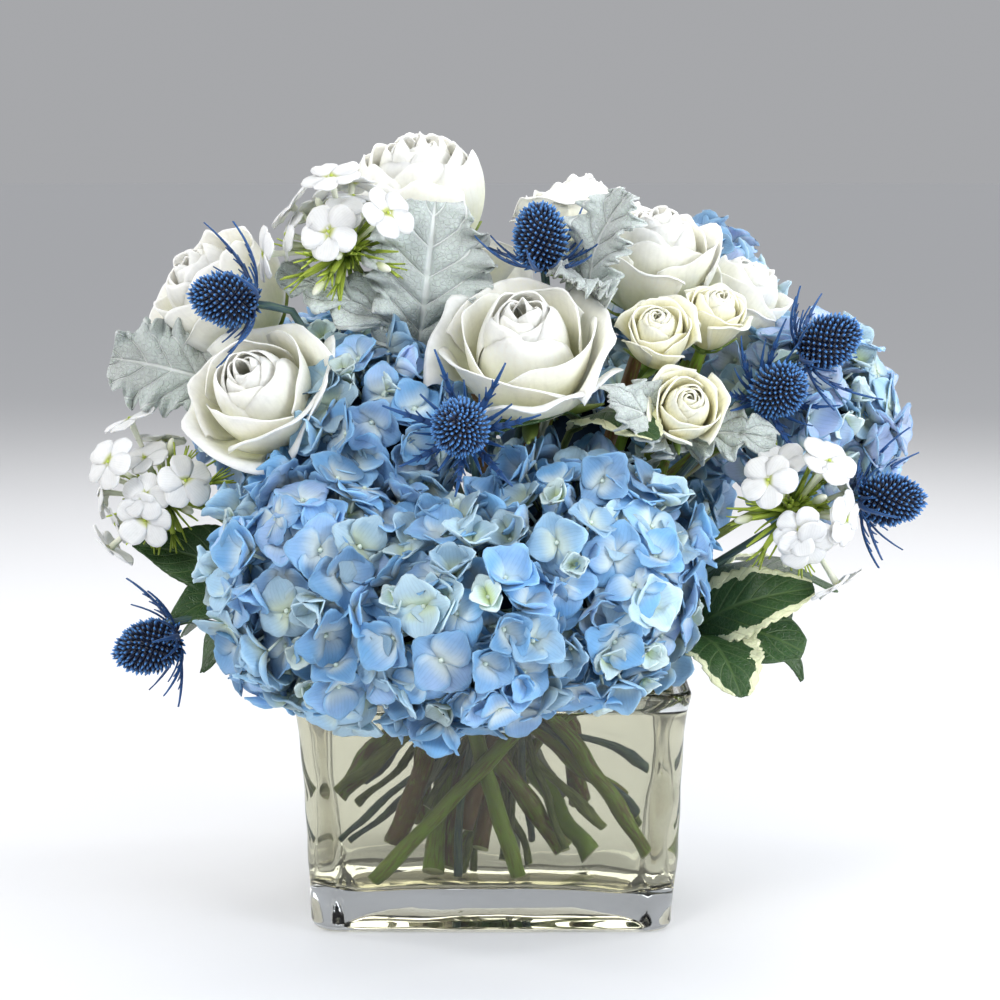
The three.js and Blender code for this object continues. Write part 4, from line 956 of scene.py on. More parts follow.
def bent_petals(n, each, stations, length, half, start, bend, hollow, blunt, rng):
    """Petals shaped (n, each, u, v, 3) round +Z, each an arc out of the middle.

    At u of its length a petal's midline slopes up by start + bend u. So it runs out by
    length (sin(start + bend u) - sin start) / bend, and rises by
    length (cos start - cos(start + bend u)) / bend. Its sides lie half(u) to either side, and stand hollow
    v² of that out of the midline, along its normal. Its end is round: at v the midline is blunt v² u²
    shorter. A little twist and a wave along v make each its own."""
    u = np.asarray(stations)[:, None]
    v = np.array([-1, -0.55, 0, 0.55, 1])[None, :]
    one = lambda low, high: rng.uniform(low, high, (n, each, 1, 1))
    bend = np.where(np.abs(bend) < 0.05, 0.05, bend)
    run = u * (1 - blunt * u * v**2)
    slope = start + bend * run
    x = length * (0.03 + (np.sin(slope) - np.sin(start)) / bend)
    z = length * (np.cos(start) - np.cos(slope)) / bend
    wide = length * half(u) * one(0.93, 1.06)
    lift = wide * (hollow * v**2 + one(-0.13, 0.13) * v * u + 0.10 * np.sin(4 * v + one(0, 6.3)) * u)
    x = x - lift * np.sin(slope)
    z = z + lift * np.cos(slope)
    y = wide * v + 0 * x
    angle = np.arange(each) * 2 * math.pi / each + rng.uniform(-0.1, 0.1, (n, each))
    c, s = np.cos(angle)[..., None, None], np.sin(angle)[..., None, None]
    return np.stack([c * x - s * y, s * x + c * y, z], -1)


def sepal_half(u):
    """Half-width of a sepal at u, as a share of its length: 0.57 sin(pi (0.06 + 0.82 u^0.8))^0.7."""
    return 0.57 * np.sin(math.pi * (0.06 + 0.82 * u**0.8)) ** 0.7


def add_hydrangea_florets(skin, at, faces, size, cup, tone, rng, stalk_from):
    """Florets of four broad sepals, a bead in the middle and a thin stalk behind. A floret's cup runs from 0,
    flat with falling tips, to 1, a bell."""
    n = len(at)
    cup = cup[:, None, None, None] + rng.uniform(-0.2, 0.2, (n, 4, 1, 1))
    start = 0.15 + 1.05 * cup
    bend = -0.75 + 0.9 * cup + rng.uniform(-0.35, 0.2, (n, 4, 1, 1))
    length = size[:, None, None, None] * rng.uniform(0.9, 1.07, (n, 4, 1, 1))
    hollow = 0.12 + 0.4 * cup
    sheet = bent_petals(n, 4, SEPAL_STATIONS, length, sepal_half, start, bend, hollow, 0.2, rng)
    sheet[..., 2] += np.array([0, PAIR_STEP, 0.1, PAIR_STEP + 0.1])[None, :, None, None]
    sheet = carried(sheet, turns(faces, rng.uniform(0, 6.3, n)), at)
    tones = np.repeat(tone, 4)
    chances = np.clip(np.repeat(rng.uniform(0, 1, n), 4) + rng.uniform(-0.25, 0.25, n * 4), 0, 1)
    skin.sheet(sheet.reshape(n * 4, *sheet.shape[2:]), PETAL_THICKNESS, tone=tones, chance=chances)
    way = unit(faces)
    skin.bead(at + way * 1.0, way, 1.25, 2.2, sides=6, rows=4, tone=tone, chance=0.5, finish=1)
    t = np.linspace(0, 1, 3)[None, :, None]
    stalks = stalk_from * (1 - t) + (at - way * 0.4)[:, None] * t
    skin.rod(stalks, 0.7, 4, tone=tone, chance=0.5, finish=1)


def make_hydrangeas(settings):
    """Each mophead: an outer layer of florets by the golden angle over most of a ball, a sparser layer
    beneath it that fills the gaps, and a dark round heart that the stalks come from, a near-black ball of
    painted shade in the head's depths. About every fifth floret is young: small, cupped and pale green."""
    colours = (settings.heart, settings.sky, settings.rim)
    tones = (settings.lavender, settings.young, settings.young_rim)
    sepal = petal_material("hydrangea sepal", colours, reach=0.62, width=0.3, veins=0.06, tones=tones)
    bead = mixed_material("hydrangea bead", BEAD_COLOURS, 0.3, 0.8, roughness=0.5, subsurface=0.2)
    # The heart material is painted shade: a near-black ball that darkens the gaps between the florets.
    heart = mixed_material("hydrangea shade core", SHADE_CORE_COLOURS, 0.2, 0.8, roughness=0.9)
    size = settings.floret / MM
    for index, (name, head) in enumerate(HYDRANGEAS.items()):
        rng = np.random.default_rng(SEEDS["hydrangea"] + index)
        at, reach = np.array(head["at"], float), head["reach"]
        turn = turns(head["faces"])
        skin = Skin()
        for share, amount, widest in HEAD_LAYERS:
            count = int(amount * settings.crowding * reach**2)
            local = spiral(count, widest) + rng.normal(0, 0.05, (count, 3))
            way = unit(local @ turn[0].T)
            spot = at + way * reach * (share + rng.uniform(-0.10, 0.05, (count, 1)))
            kept = (own_share(spot, name) > -4) & outside_vase(spot, 9)
            way, spot = way[kept], spot[kept]
            n = len(spot)
            lean = unit(way + rng.normal(0, 0.36, (n, 3)))
            kind = rng.uniform(0, 1, n)
            fresh = kind < YOUNG_SHARE
            cup = np.where(fresh, rng.uniform(0.45, 0.85, n), rng.beta(1.7, 2.0, n) * 0.95)
            grown = np.where(fresh, rng.uniform(0.5, 0.75, n), rng.uniform(0.86, 1.06, n))
            blue = np.clip(head["tone"] + rng.normal(0, 0.15, n), 0, 1)
            grown_tone = np.where(kind < PALE_SHARE, rng.uniform(-0.6, -0.1, n), blue)
            tone = np.where(fresh, rng.uniform(-1, -0.7, n), grown_tone)
            stem = at + (spot - at) * 0.45
            add_hydrangea_florets(skin, spot, lean, size * grown, cup, tone, rng, stem[:, None])
        # A near-black ball of painted shade in the middle of the head, which the stalks come from.
        centre = (at - unit(head["faces"]) * reach * 0.06)[None]
        skin.bead(centre, head["faces"], reach * 0.56, reach * 1.12, sides=18, rows=12, finish=2)
        skin.made(name + "_florets", [sepal, bead, heart], "hydrangea_petals", name)


# ------------------------------------------------------------------ roses

PETAL_GRID, SEPALS = 19, 5
ROSE_CALYX = (0.13, 0.2, 0.04), (0.24, 0.3, 0.08)
SPRAY_CALYX = (0.10, 0.17, 0.03), (0.2, 0.28, 0.07)


def rose_petals(reach, depth, bud, outer, openness, spin, rng):
    """Petals shaped (count, u, v, 3), innermost first, with +Z out of the bloom. Petal i turns by the golden
    angle and wraps round the axis.

    Up its middle each follows a cubic curve in radius and height: from the bloom's foot, through a belly and
    a shoulder, to its rim. The bud's petals lean in above their belly and close over the top, in a spiral
    whose rims drop from 0.58 of the reach. The outer petals make a bowl. Its rims lie further out and lower,
    the more so the more open each petal is, with a soft point and a lip that curls out. Waves along v, which
    grow towards the rim, make each petal its own."""
    u = np.linspace(0, 1, PETAL_GRID)[:, None]
    v = np.linspace(-1, 1, PETAL_GRID)[None, :]
    count = bud + outer
    one = lambda low, high: rng.uniform(low, high, (count, 1, 1))
    i = np.arange(count)[:, None, None]
    inner = np.clip(i / (bud - 1), 0, 1)
    out = np.clip((i - bud + 1) / outer, 0, 1)
    loose = out > 0
    wide = np.clip(openness + one(-0.16, 0.2), 0, 1.05)
    rim = np.where(loose, 0.40 + (0.14 + 0.44 * wide) * out**0.85, 0.05 + 0.27 * inner**0.85)
    belly = np.where(loose, 0.60 + (0.20 - 0.10 * wide) * out, 0.24 + 0.32 * inner)
    shoulder = np.where(loose, 0.58 + (0.20 - 0.02 * wide) * out, 0.25 + 0.34 * inner)
    peak = np.where(loose, 0.45 - (0.06 + 0.27 * wide) * out, 0.58 - 0.13 * inner) + one(-0.035, 0.035)
    flare = np.where(loose, (0.25 + 0.75 * out) * (0.25 + 0.75 * wide), 0.0)
    wrap = np.where(loose, 1.16 - 0.18 * out, 2.4 - 1.1 * inner**0.6) * one(0.94, 1.06)
    foot = -depth * 0.97 + 0 * rim
    radii = [0.05 + 0 * rim, belly, shoulder, rim]
    heights = [foot, foot * 0.80, peak - 0.26 + 0.08 * flare, peak]
    weights = [(1 - u) ** 3, 3 * u * (1 - u) ** 2, 3 * u**2 * (1 - u), u**3]
    r = sum(w * a for w, a in zip(weights, radii)) + 0 * v
    z = sum(w * a for w, a in zip(weights, heights)) + 0 * v
    side = np.abs(v)
    z = z - (0.17 + 0.10 * (1 - flare)) * side**2.4 * u**2
    r = r + (0.05 + 0.05 * flare) * side**3 * u**2 * inner
    lip = np.clip((u - 0.84) / 0.16, 0, 1)
    roll = np.where(loose, one(0.5, 1.5) * flare, 0.25)
    r = r + 0.06 * roll * lip * (1 - 0.35 * lip)
    z = z - 0.085 * roll * lip**1.7
    point = np.exp(-(((v - one(-0.3, 0.3)) / 0.2) ** 2)) * u**4 * np.where(loose, one(0.3, 1.3), 0.4)
    r = r + 0.09 * point * flare
    z = z + 0.045 * point * (1 - 0.7 * flare)
    tuck = 0.010 + 0.028 * v
    r = r + tuck * (0.25 + 0.75 * u)
    r = r + (0.024 + 0.036 * out) * np.sin(2.6 * v + one(0, 6)) * u**2
    z = z + (0.024 + 0.040 * out) * np.sin(3.7 * v + one(0, 6)) * u**3
    z = z + (0.010 + 0.024 * out) * np.sin(9 * v + one(0, 6)) * u**6
    r = np.maximum(r, 0.02)
    narrow = 0.30 + 0.70 * np.sin(np.minimum(u * 1.25, 1) * math.pi / 2)
    angle = spin + i * GOLDEN_ANGLE + wrap * v * narrow + one(-0.12, 0.12)
    return reach * np.stack([r * np.cos(angle), r * np.sin(angle), z], -1)


def sepal_strips(reach, depth, spin, rng):
    """Narrow green sepals that hug the foot of a bloom: strips that rise with the cup and end in a point."""
    u = np.linspace(0, 1, 9)[:, None]
    v = np.linspace(-1, 1, 3)[None, :]
    out = rng.uniform(0.5, 0.75, (SEPALS, 1, 1))
    r = 0.10 + out * u**0.8 + 0.03 * v**2
    z = -depth * 0.99 + (0.34 + rng.uniform(-0.1, 0.12, (SEPALS, 1, 1))) * depth * u**1.5 + 0.02
    half = 0.11 * (1 - u) ** 0.8 * (0.6 + 0.4 * np.sin(math.pi * u)) + 0.008
    angle = spin + np.arange(SEPALS)[:, None, None] * 2 * math.pi / SEPALS + v * half / np.maximum(r, 0.08)
    return reach * np.stack([r * np.cos(angle), r * np.sin(angle), z + 0 * v], -1)


def make_blooms(blooms, settings, depth, openness, seed, materials, slot):
    """Roses of one kind, each with its petals, its green sepals and the hip that they stand on."""
    count = settings.bud + settings.outer
    for index, (name, bloom) in enumerate(blooms.items()):
        rng = np.random.default_rng(seed + index)
        skin = Skin()
        turn, at = turns(bloom["faces"]), np.array(bloom["at"], float)
        reach, spin, wide = bloom["reach"], bloom["spin"], bloom.get("open", openness)
        petals = rose_petals(reach * 0.99, depth, settings.bud, settings.outer, wide, spin, rng)
        tone = np.arange(count) / (count - 1)
        chance = rng.uniform(0.72, 1, count)
        skin.sheet(carried(petals, turn, at), PETAL_THICKNESS, tone=tone, chance=chance)
        skin.sheet(carried(sepal_strips(reach, depth, spin, rng), turn, at), 0.7, chance=0.5, finish=1)
        way = unit(bloom["faces"])
        hip = (at - way * reach * depth * 0.93)[None]
        thick, long = max(0.13 * reach, 4.2), 0.2 * reach * depth + 3
        skin.bead(hip, way, thick, long, sides=12, rows=7, finish=1)
        skin.made(name + "_petals", materials, slot, name)


def make_roses(settings):
    """The large white roses."""
    # Each petal grades from the depth colour at its foot: partly its own cream, partly painted shade deep in
    # the bloom.
    colours = (settings.depth, settings.petal, settings.rim)
    finish = {"roughness": 0.42, "glow": 0.45, "depth": 0.008}
    petal = petal_material("rose petal", colours, reach=0.95, width=0.3, veins=0.02, **finish)
    calyx = mixed_material("rose calyx", ROSE_CALYX, 0.2, 0.9, roughness=0.5)
    make_blooms(ROSES, settings, ROSE_DEPTH, 1.0, SEEDS["rose"], [petal, calyx], "rose_petals")


def make_spray_roses(settings):
    """The small cream spray roses, all of them open by 0.8."""
    colours = (settings.depth, settings.petal, settings.rim)
    finish = {"roughness": 0.42, "glow": 0.4, "depth": 0.004}
    petal = petal_material("spray rose petal", colours, reach=0.9, width=0.3, veins=0.03, **finish)
    calyx = mixed_material("spray rose calyx", SPRAY_CALYX, 0.2, 0.9, roughness=0.5)
    make_blooms(SPRAY_ROSES, settings, SPRAY_DEPTH, 0.8, SEEDS["spray"], [petal, calyx], "spray_rose_petals")


# ------------------------------------------------------------------ thistles

CONE_LENGTH, CONE_RADIUS, BRACTS = 27.0, 9.5, 7
COLLAR, COLLAR_REACH = -0.34 * CONE_LENGTH, 3  # how low the collar sits, and how far out its bracts begin
CAP_START = 0.84  # where the cone's round cap begins
CORE_STEPS = 14  # rings of the cone's core, and points on each
CORE_INSET, TUBE_ROOT = 1.4, 1.6  # how deep the core and the small flowers' roots lie
BLOCKED_BRACTS = {(4, 5): 0.42}  # head and bract, and how much of it fits in front of a leaf
BRACT_TIP = (0.02, 0.09, 0.27)
THISTLE_STEM = (0.03, 0.07, 0.10), (0.09, 0.15, 0.10)


def cone_profile(t):
    """A cone's radius and height at t from its foot to its top. The radius is sin(pi (0.14 + 0.8 t))^0.75
    of the widest. A round cap closes the last sixth: times the root of 1 - c², where c goes from 0 to 1."""
    cap = np.clip((t - CAP_START) / (1 - CAP_START), 0, 1)
    radius = CONE_RADIUS * np.sin(math.pi * (0.14 + 0.8 * t)) ** 0.75 * np.sqrt(1 - 0.999 * cap**2)
    return radius, CONE_LENGTH * (t - 0.36)


def add_cone(skin, turn, at, count, rng):
    """The cone: a dark egg, in near-black painted shade, covered in small four-sided flowers by the golden
    angle. Each leans upwards and narrows to a pale tip, from a root in painted shade."""
    r, z = cone_profile(np.linspace(0.0, 0.985, CORE_STEPS))
    r = (np.maximum(r, CORE_INSET + 0.1) - CORE_INSET)[:, None]
    angle = np.arange(CORE_STEPS) * 2 * math.pi / CORE_STEPS
    rings = np.stack([r * np.cos(angle), r * np.sin(angle), z[:, None] + 0 * angle], -1)
    skin.tube(carried(rings[None], turn, at))
    i = np.arange(count)
    t = ((i + 0.5) / count) ** 0.92 * 0.99
    r, z = cone_profile(t)
    angle = i * GOLDEN_ANGLE
    slope = np.clip(np.gradient(r, z), -4, 4)
    way = np.stack([np.cos(angle), np.sin(angle), -slope + 0.35], -1)
    way = unit(way + rng.normal(0, 0.06, (count, 3)))
    root = np.stack([r * np.cos(angle), r * np.sin(angle), z], -1) - way * TUBE_ROOT
    reach = rng.uniform(3.4, 5.0, count)
    steps = np.array([0, 0.45, 0.75, 1.0])
    course = carried(root[:, None] + way[:, None] * (reach[:, None] * steps)[..., None], turn, at)
    radius = np.array([0.75, 0.85, 0.62, 0.16])
    skin.rod(course, radius[None], 4, chance=rng.uniform(0, 1, count), finish=1)


def add_strips(skin, start, way, up, length, width, rise, rows=7, **marks):
    """Narrow pointed blades: width (1 - u)^0.8 wide at u, rising by rise u² of their length."""
    u = np.linspace(0, 1, rows)[None, :, None, None]
    v = np.linspace(-1, 1, 3)[None, None, :, None]
    way, up = unit(way)[:, None, None], unit(up)[:, None, None]
    side = unit(np.cross(up, way))
    length, width, rise = (np.reshape(a, (-1, 1, 1, 1)) for a in (length, width, rise))
    half = width / 2 * np.maximum((1 - u) ** 0.8, 0.06)
    lift = up * length * (rise * u**2 + 0.02 * v**2)
    skin.sheet(start[:, None, None] + way * length * u + side * half * v + lift, PETAL_THICKNESS, **marks)


def add_collar(skin, turn, at, index, rng):
    """The spiny collar: seven long bracts where the solid has them, which curve up round the cone, seven
    shorter ones between them, and three pairs of side spines on each long one."""
    k = np.arange(BRACTS)
    random = lambda n: draw(THISTLE_DRAWS + index * 100 + k * 7 + n)
    aim = 2 * math.pi * k / BRACTS + 0.2 * (random(1) - 0.5)
    length, rise = 23 + 9 * random(3), 0.15 + 0.65 * random(2)
    length = length * np.array([BLOCKED_BRACTS.get((index, n), 1.0) for n in range(BRACTS)])
    level = lambda a: np.stack([np.cos(a), np.sin(a), 0 * a], -1)
    up = np.tile([0, 0, 1.0], (BRACTS, 1))
    place = lambda p: carried(p[None], turn, at)[0]
    spin = lambda p: p @ turn[0].T
    foot = np.array([0, 0, COLLAR])
    start = place(foot + level(aim) * COLLAR_REACH)
    long = length * 1.1 - COLLAR_REACH
    add_strips(skin, start, spin(level(aim)), spin(up), long, 3.9, rise, 12, finish=2)
    between = aim + math.pi / BRACTS + rng.uniform(-0.15, 0.15, BRACTS)
    short, steep = rng.uniform(14, 20, BRACTS), rng.uniform(0.3, 0.9, BRACTS)
    start = place(foot + level(between) * COLLAR_REACH + [0, 0, 0.8])
    add_strips(skin, start, spin(level(between)), spin(up), short, 2.8, steep, 8, finish=2)
    for share in (0.3, 0.5, 0.7):
        reach = COLLAR_REACH + (length - COLLAR_REACH) * share
        lift = rise * (length - COLLAR_REACH) * share**2
        root = foot + level(aim) * reach[:, None] + up * lift[:, None]
        for hand in (-1, 1):
            way = level(aim + hand * 0.55) + up * (0.25 + rise * share)[:, None]
            size = np.full(BRACTS, 8.5 * (1.1 - share))
            add_strips(skin, place(root), spin(way), spin(up), size, 1.5, 0.15, 4, finish=2)


def make_thistles(settings):
    """The sea hollies, each with its own thin blue stem."""
    # The core and the roots of the small flowers take the near-black dark colour, painted shade between the
    # flowers; their tips are pale.
    core = mixed_material("thistle core painted shade", (settings.dark, settings.dark), 0.4, 0.8, roughness=0.8)
    colours = (settings.dark, settings.tip)
    tube = mixed_material("thistle flower", colours, 0.42, 0.95, roughness=0.55, sheen=0.2)
    colours = (settings.bract, BRACT_TIP)
    bract = mixed_material("thistle bract", colours, 0.2, 1.0, roughness=0.5, sheen=0.1)
    stalk = streaked_material("thistle stem", *THISTLE_STEM, 0.5)
    for index, (name, head) in enumerate(THISTLES.items()):
        rng = np.random.default_rng(SEEDS["thistle"] + index)
        skin = Skin()
        turn, at = turns(head["faces"]), np.array(head["at"], float)
        add_cone(skin, turn, at, settings.tubes, rng)
        add_collar(skin, turn, at, index, rng)
        add_stem(skin, name, "thistle", head["at"], head["faces"], 6, 22, 0.5, finish=3)
        skin.made(name + "_head", [core, tube, bract, stalk], "thistle_head", name)


# ------------------------------------------------------------------ phlox

PHLOX_TUBE = 30.0  # the middling length of a floret's tube
PETAL_STATIONS = (0, 0.14, 0.32, 0.54, 0.76, 0.92, 1.0)
EXTRA, SLEEVES, SPIKES, BUDS = 5, 22, 64, 8  # how many shorter florets, sleeves, spikes and buds a head has
POINTED_AT = 0.9  # the cosine of about 26 degrees
TUBE_COLOURS = (0.5, 0.56, 0.24), (0.78, 0.8, 0.66)
FIFTH = 1.2566  # a fifth of a turn
CALYX_FOOT = (0.12, 0.19, 0.02)
PHLOX_STEM = (0.10, 0.14, 0.03), (0.22, 0.28, 0.07)


def phlox_half(u):
    """Half-width of a petal at u, as a share of its length: narrow at its claw, broad and round outside."""
    return 0.10 + 0.37 * np.sin(math.pi * (0.02 + 0.80 * u**1.15)) ** 0.8


def add_phlox_florets(skin, at, way, spin, size, tube_from, rng):
    """Flat florets of five broad petals on long tubes, which a ring of yellow-green closes in the middle."""
    n = len(at)
    length = size[:, None, None, None] * rng.uniform(0.94, 1.05, (n, 5, 1, 1))
    start = rng.uniform(0.05, 0.3, (n, 1, 1, 1)) + rng.uniform(-0.06, 0.06, (n, 5, 1, 1))
    bend = -rng.uniform(0.15, 0.7, (n, 1, 1, 1)) + rng.uniform(-0.12, 0.12, (n, 5, 1, 1))
    sheet = bent_petals(n, 5, PETAL_STATIONS, length, phlox_half, start, bend, -0.05, 0.1, rng)
    sheet[..., 2] += 0.4 * (np.arange(5)[None, :, None, None] % 2) + 0.25 * np.linspace(-1, 1, 5)
    sheet = carried(sheet, turns(way, spin), at)
    chance = rng.uniform(0.6, 1, n * 5)
    skin.sheet(sheet.reshape(n * 5, *sheet.shape[2:]), PETAL_THICKNESS, chance=chance)
    t = np.linspace(0, 1, 6)[None, :, None]
    course = tube_from[:, None] * (1 - t) + (at + way * 0.5)[:, None] * t
    skin.rod(course, (0.9 + 0.8 * np.linspace(0, 1, 6) ** 3)[None], 8, finish=1)
    skin.bead(at + way * 0.7, way, 0.9, 1.2, sides=6, rows=4, finish=2)


def across_of(way):
    """A direction square to each of the given ones."""
    return unit(np.cross(way, np.eye(3)[np.abs(way).argmin(-1)]))


def add_calyxes(skin, knob, way, length, rng):
    """Lime-green sleeves with five narrow teeth each, standing out of the knob."""
    n = len(way)
    t = np.array([0.12, 0.4, 0.7, 1.0])
    course = knob + way[:, None] * (length[:, None] * t)[..., None]
    skin.rod(course, np.array([0.9, 1.4, 1.5, 1.1])[None], 6, chance=rng.uniform(0, 1, n), finish=2)
    aside = turns(way, rng.uniform(0, 6.3, n))
    for k in range(5):
        lean = np.array([math.cos(k * FIFTH) * 0.34, math.sin(k * FIFTH) * 0.34, 1.0])
        tooth = unit(aside @ lean)
        root = knob + way * (length * 0.9)[:, None] + tooth * 0.6
        add_strips(skin, root, tooth, across_of(tooth), length * 0.5, 1.4, np.zeros(n), 4, finish=2)


def kept_short(length, way, florets):
    """Lengths cut to 0.6 for the spikes that point at a floret."""
    near = (way @ florets.T).max(1) > POINTED_AT
    return np.where(near, 0.6, 1.0) * length


def make_phloxes(settings):
    """The white phlox: the solid's florets and a few shorter ones between them, with lime-green sleeves,
    spikes and closed buds round a green knob, and a thin green stem."""
    colours = (settings.eye, settings.petal, settings.petal)
    petal = petal_material("phlox petal", colours, reach=0.22, width=0.05, veins=0.04)
    tube = mixed_material("phlox tube", TUBE_COLOURS, 0.1, 0.8, roughness=0.5, subsurface=0.15)
    colours = (CALYX_FOOT, settings.calyx)
    calyx = mixed_material("phlox calyx", colours, 0.05, 0.75, roughness=0.5, subsurface=0.1)
    stalk = streaked_material("phlox stem", *PHLOX_STEM, 0.5)
    size = settings.floret / MM
    for index, (name, head) in enumerate(PHLOXES.items()):
        rng = np.random.default_rng(SEEDS["phlox"] + index)
        skin = Skin()
        turn, at = turns(head["faces"])[0].T, np.array(head["at"], float)
        count = head["florets"]
        way = spiral(count, head["spread"]) @ turn
        random = lambda k: draw(PHLOX_DRAWS + index * 200 + np.arange(count) * 6 + k)
        length = PHLOX_TUBE * (0.75 + 0.6 * random(1))
        spot = at + way * length[:, None]
        add_phlox_florets(skin, spot, way, 6 * random(2), np.full(count, size), at + way * 6, rng)
        extra = unit(spiral(EXTRA, head["spread"] * 0.95) @ turn @ turns([0.3, 0.4, 1])[0].T)
        spot = at + extra * (PHLOX_TUBE * rng.uniform(0.72, 0.9, EXTRA))[:, None]
        spin, smaller = rng.uniform(0, 6, EXTRA), size * rng.uniform(0.8, 0.95, EXTRA)
        add_phlox_florets(skin, spot, extra, spin, smaller, at + extra * 6, rng)
        sleeves = unit(spiral(SLEEVES, 2.2) @ turn + rng.normal(0, 0.12, (SLEEVES, 3)))
        florets = np.vstack([way, extra])
        add_calyxes(skin, at, sleeves, kept_short(rng.uniform(13, 23, SLEEVES), sleeves, florets), rng)
        spikes = spiral(SPIKES, 2.5) @ turn @ turns([0.2, 0.5, 1])[0].T
        spikes = unit(spikes + rng.normal(0, 0.15, (SPIKES, 3)))
        long, bend = rng.uniform(13, 24, SPIKES), rng.uniform(-0.2, 0.4, SPIKES)
        long = kept_short(long, spikes, florets)
        add_strips(skin, at + spikes * 4, spikes, across_of(spikes), long, 2.6, bend, 6, finish=2)
        buds = unit(spiral(BUDS, 1.9) @ turn @ turns([0.5, -0.3, 1])[0].T)
        reach = rng.uniform(17, 24, BUDS)[:, None]
        skin.bead(at + buds * reach, buds, 1.9, 9, sides=8, rows=7, finish=1)
        skin.rod(at + buds[:, None] * (reach * np.array([0.1, 0.9]))[..., None], 0.8, 6, finish=2)
        skin.bead(at[None], head["faces"], 5, 12, sides=10, rows=6, finish=2)
        add_stem(skin, name, "phlox", head["at"], head["faces"], 3, 18, 0.6, finish=3)
        skin.made(name + "_head", [petal, tube, calyx, stalk], "phlox_petals", name)


# ------------------------------------------------------------------ leaves

SILVER_VEINS, GREEN_VEINS = 5.0, 8.0  # side veins along each half of a blade
SILVER_STEM = (0.22, 0.25, 0.20), (0.36, 0.40, 0.36)
LEAF_STEM = (0.06, 0.09, 0.02), (0.15, 0.2, 0.05)

# Each kind of blade: its grid, the four numbers of its outline, its fold and how far its sides run ahead.
BLADES = {
    "ruffled": {"grid": (81, 33), "outline": (0.08, 0.84, 1.15, 0.60), "fold": 0.10, "ahead": 0.16},
    "cut": {"grid": (81, 29), "outline": (0.06, 0.88, 0.90, 0.70), "fold": 0.10, "ahead": 0.24},
    "variegated": {"grid": (61, 19), "outline": (0.06, 0.90, 0.85, 0.75), "fold": 0.10, "ahead": 0.05},
    "round": {"grid": (41, 17), "outline": (0.07, 0.89, 0.90, 0.60), "fold": 0.08, "ahead": 0.03},
    "pointed": {"grid": (49, 17), "outline": (0.05, 0.93, 0.80, 0.95), "fold": 0.13, "ahead": 0.04},
}


def blade_edge(kind, u, v, width, phase):
    """How much of its outline a blade keeps at its margin, and how its margin ruffles, in millimetres. A
    ruffled leaf is scalloped by |sin| and crimped by two waves. A cut one is lobed almost to its rib, a
    variegated one has sharp teeth and a pointed one small ones. A round one is smooth."""
    side = np.abs(v)
    hand = np.sign(v)
    wave = lambda count, shift=0.0: np.sin(2 * math.pi * (count * u + phase + shift * hand))
    if kind == "ruffled":
        lobe = np.abs(np.sin(math.pi * (5.5 * u + 0.3 + 0.15 * hand)))
        crimp = 0.12 * wave(3.6, 0.25) * side**2 + 0.10 * wave(9.5, 0.1) * side**4
        return 1 - 0.34 * side**3 * (1 - lobe**0.6), width * crimp
    if kind == "cut":
        lobe = np.abs(np.sin(math.pi * (3.6 * u + 0.22)))
        crimp = 0.08 * wave(3.1) * side**2 + 0.05 * wave(9) * side**4
        return 1 - 0.62 * (1 - lobe**0.7) + 0 * v, width * crimp
    if kind == "variegated":
        tooth = np.abs(((13 * u) % 1) - 0.25) * 1.33
        return 1 - 0.10 * side**6 * tooth, width * 0.035 * wave(3) * side**2
    if kind == "round":
        return 1 + 0 * u * v, width * 0.03 * wave(2) * side**2
    tooth = np.abs(((16 * u) % 1) - 0.25)
    return 1 - 0.05 * side**6 * tooth, width * 0.035 * wave(2.4) * side**2


def blade_sheet(root, tip, faces, width, kind, veins, relief, rng):
    """A leaf blade shaped (1, u, v, 3) from its root to its tip.

    Its half-width is sin(pi (a + b u^c))^d of the widest. Its middle arches by 0.16 sin(pi u) of its length,
    and its sides fold up from the midrib. Its side veins are sunk by the relief, along the same slanted lines
    as in its material, and the blade swells between them."""
    shape = BLADES[kind]
    nu, nv = shape["grid"]
    a, b, c, d = shape["outline"]
    u = np.linspace(0, 1, nu)[:, None]
    v = np.linspace(-1, 1, nv)[None, :]
    side = np.abs(v)
    root, tip = np.asarray(root, float), np.asarray(tip, float)
    length = np.linalg.norm(tip - root)
    along = unit(tip - root)
    across = unit(np.cross(unit(faces), along))
    up = np.cross(along, across)
    half = np.sin(math.pi * (a + b * u**c)) ** d
    edge, ruffle = blade_edge(kind, u, v, width, rng.uniform(0, 1))
    sideways = v * half * edge * width / 2
    phase = ((u - VEIN_SLANT * side) * veins) % 1
    vein = np.exp(-(((phase - 0.5) / 0.13) ** 2)) * smooth(side, 0.0, 0.1)
    vein = vein + np.exp(-((side / 0.07) ** 2))
    swell = relief * (1 - 1.6 * vein) * smooth(side, 1.0, 0.8) * smooth(u, 0.0, 0.1)
    rise = length * 0.16 * np.sin(math.pi * u) + shape["fold"] * np.abs(sideways) + ruffle + swell
    ahead = length * (u + shape["ahead"] * side * np.sin(math.pi * u) * (1 - u))
    sheet = root + ahead[..., None] * along + sideways[..., None] * across + rise[..., None] * up
    return sheet[None]


def make_leafy(names, materials, slot, thickness, veins, relief, seed):
    """Leaves with their shared stem, one object for each node. A variegated blade has tone 1. The stem leads
    in towards the first blade, steeply."""
    for index, name in enumerate(names):
        plant = LEAFY[name]
        rng = np.random.default_rng(seed + index)
        skin = Skin()
        at = np.array(plant["at"], float)
        aim = np.array(plant["blades"][0][0], float) - at
        aim[2] = 20
        add_stem(skin, name, "leafy", plant["at"], aim, 0, 8, 0.5, finish=1)
        for tip, faces, width, kind in plant["blades"]:
            sheet = blade_sheet(at, tip, faces, width, kind, veins, relief, rng)
            skin.sheet(sheet, thickness, tone=float(kind == "variegated"))
        skin.made(name + "_blades", materials, slot, name)


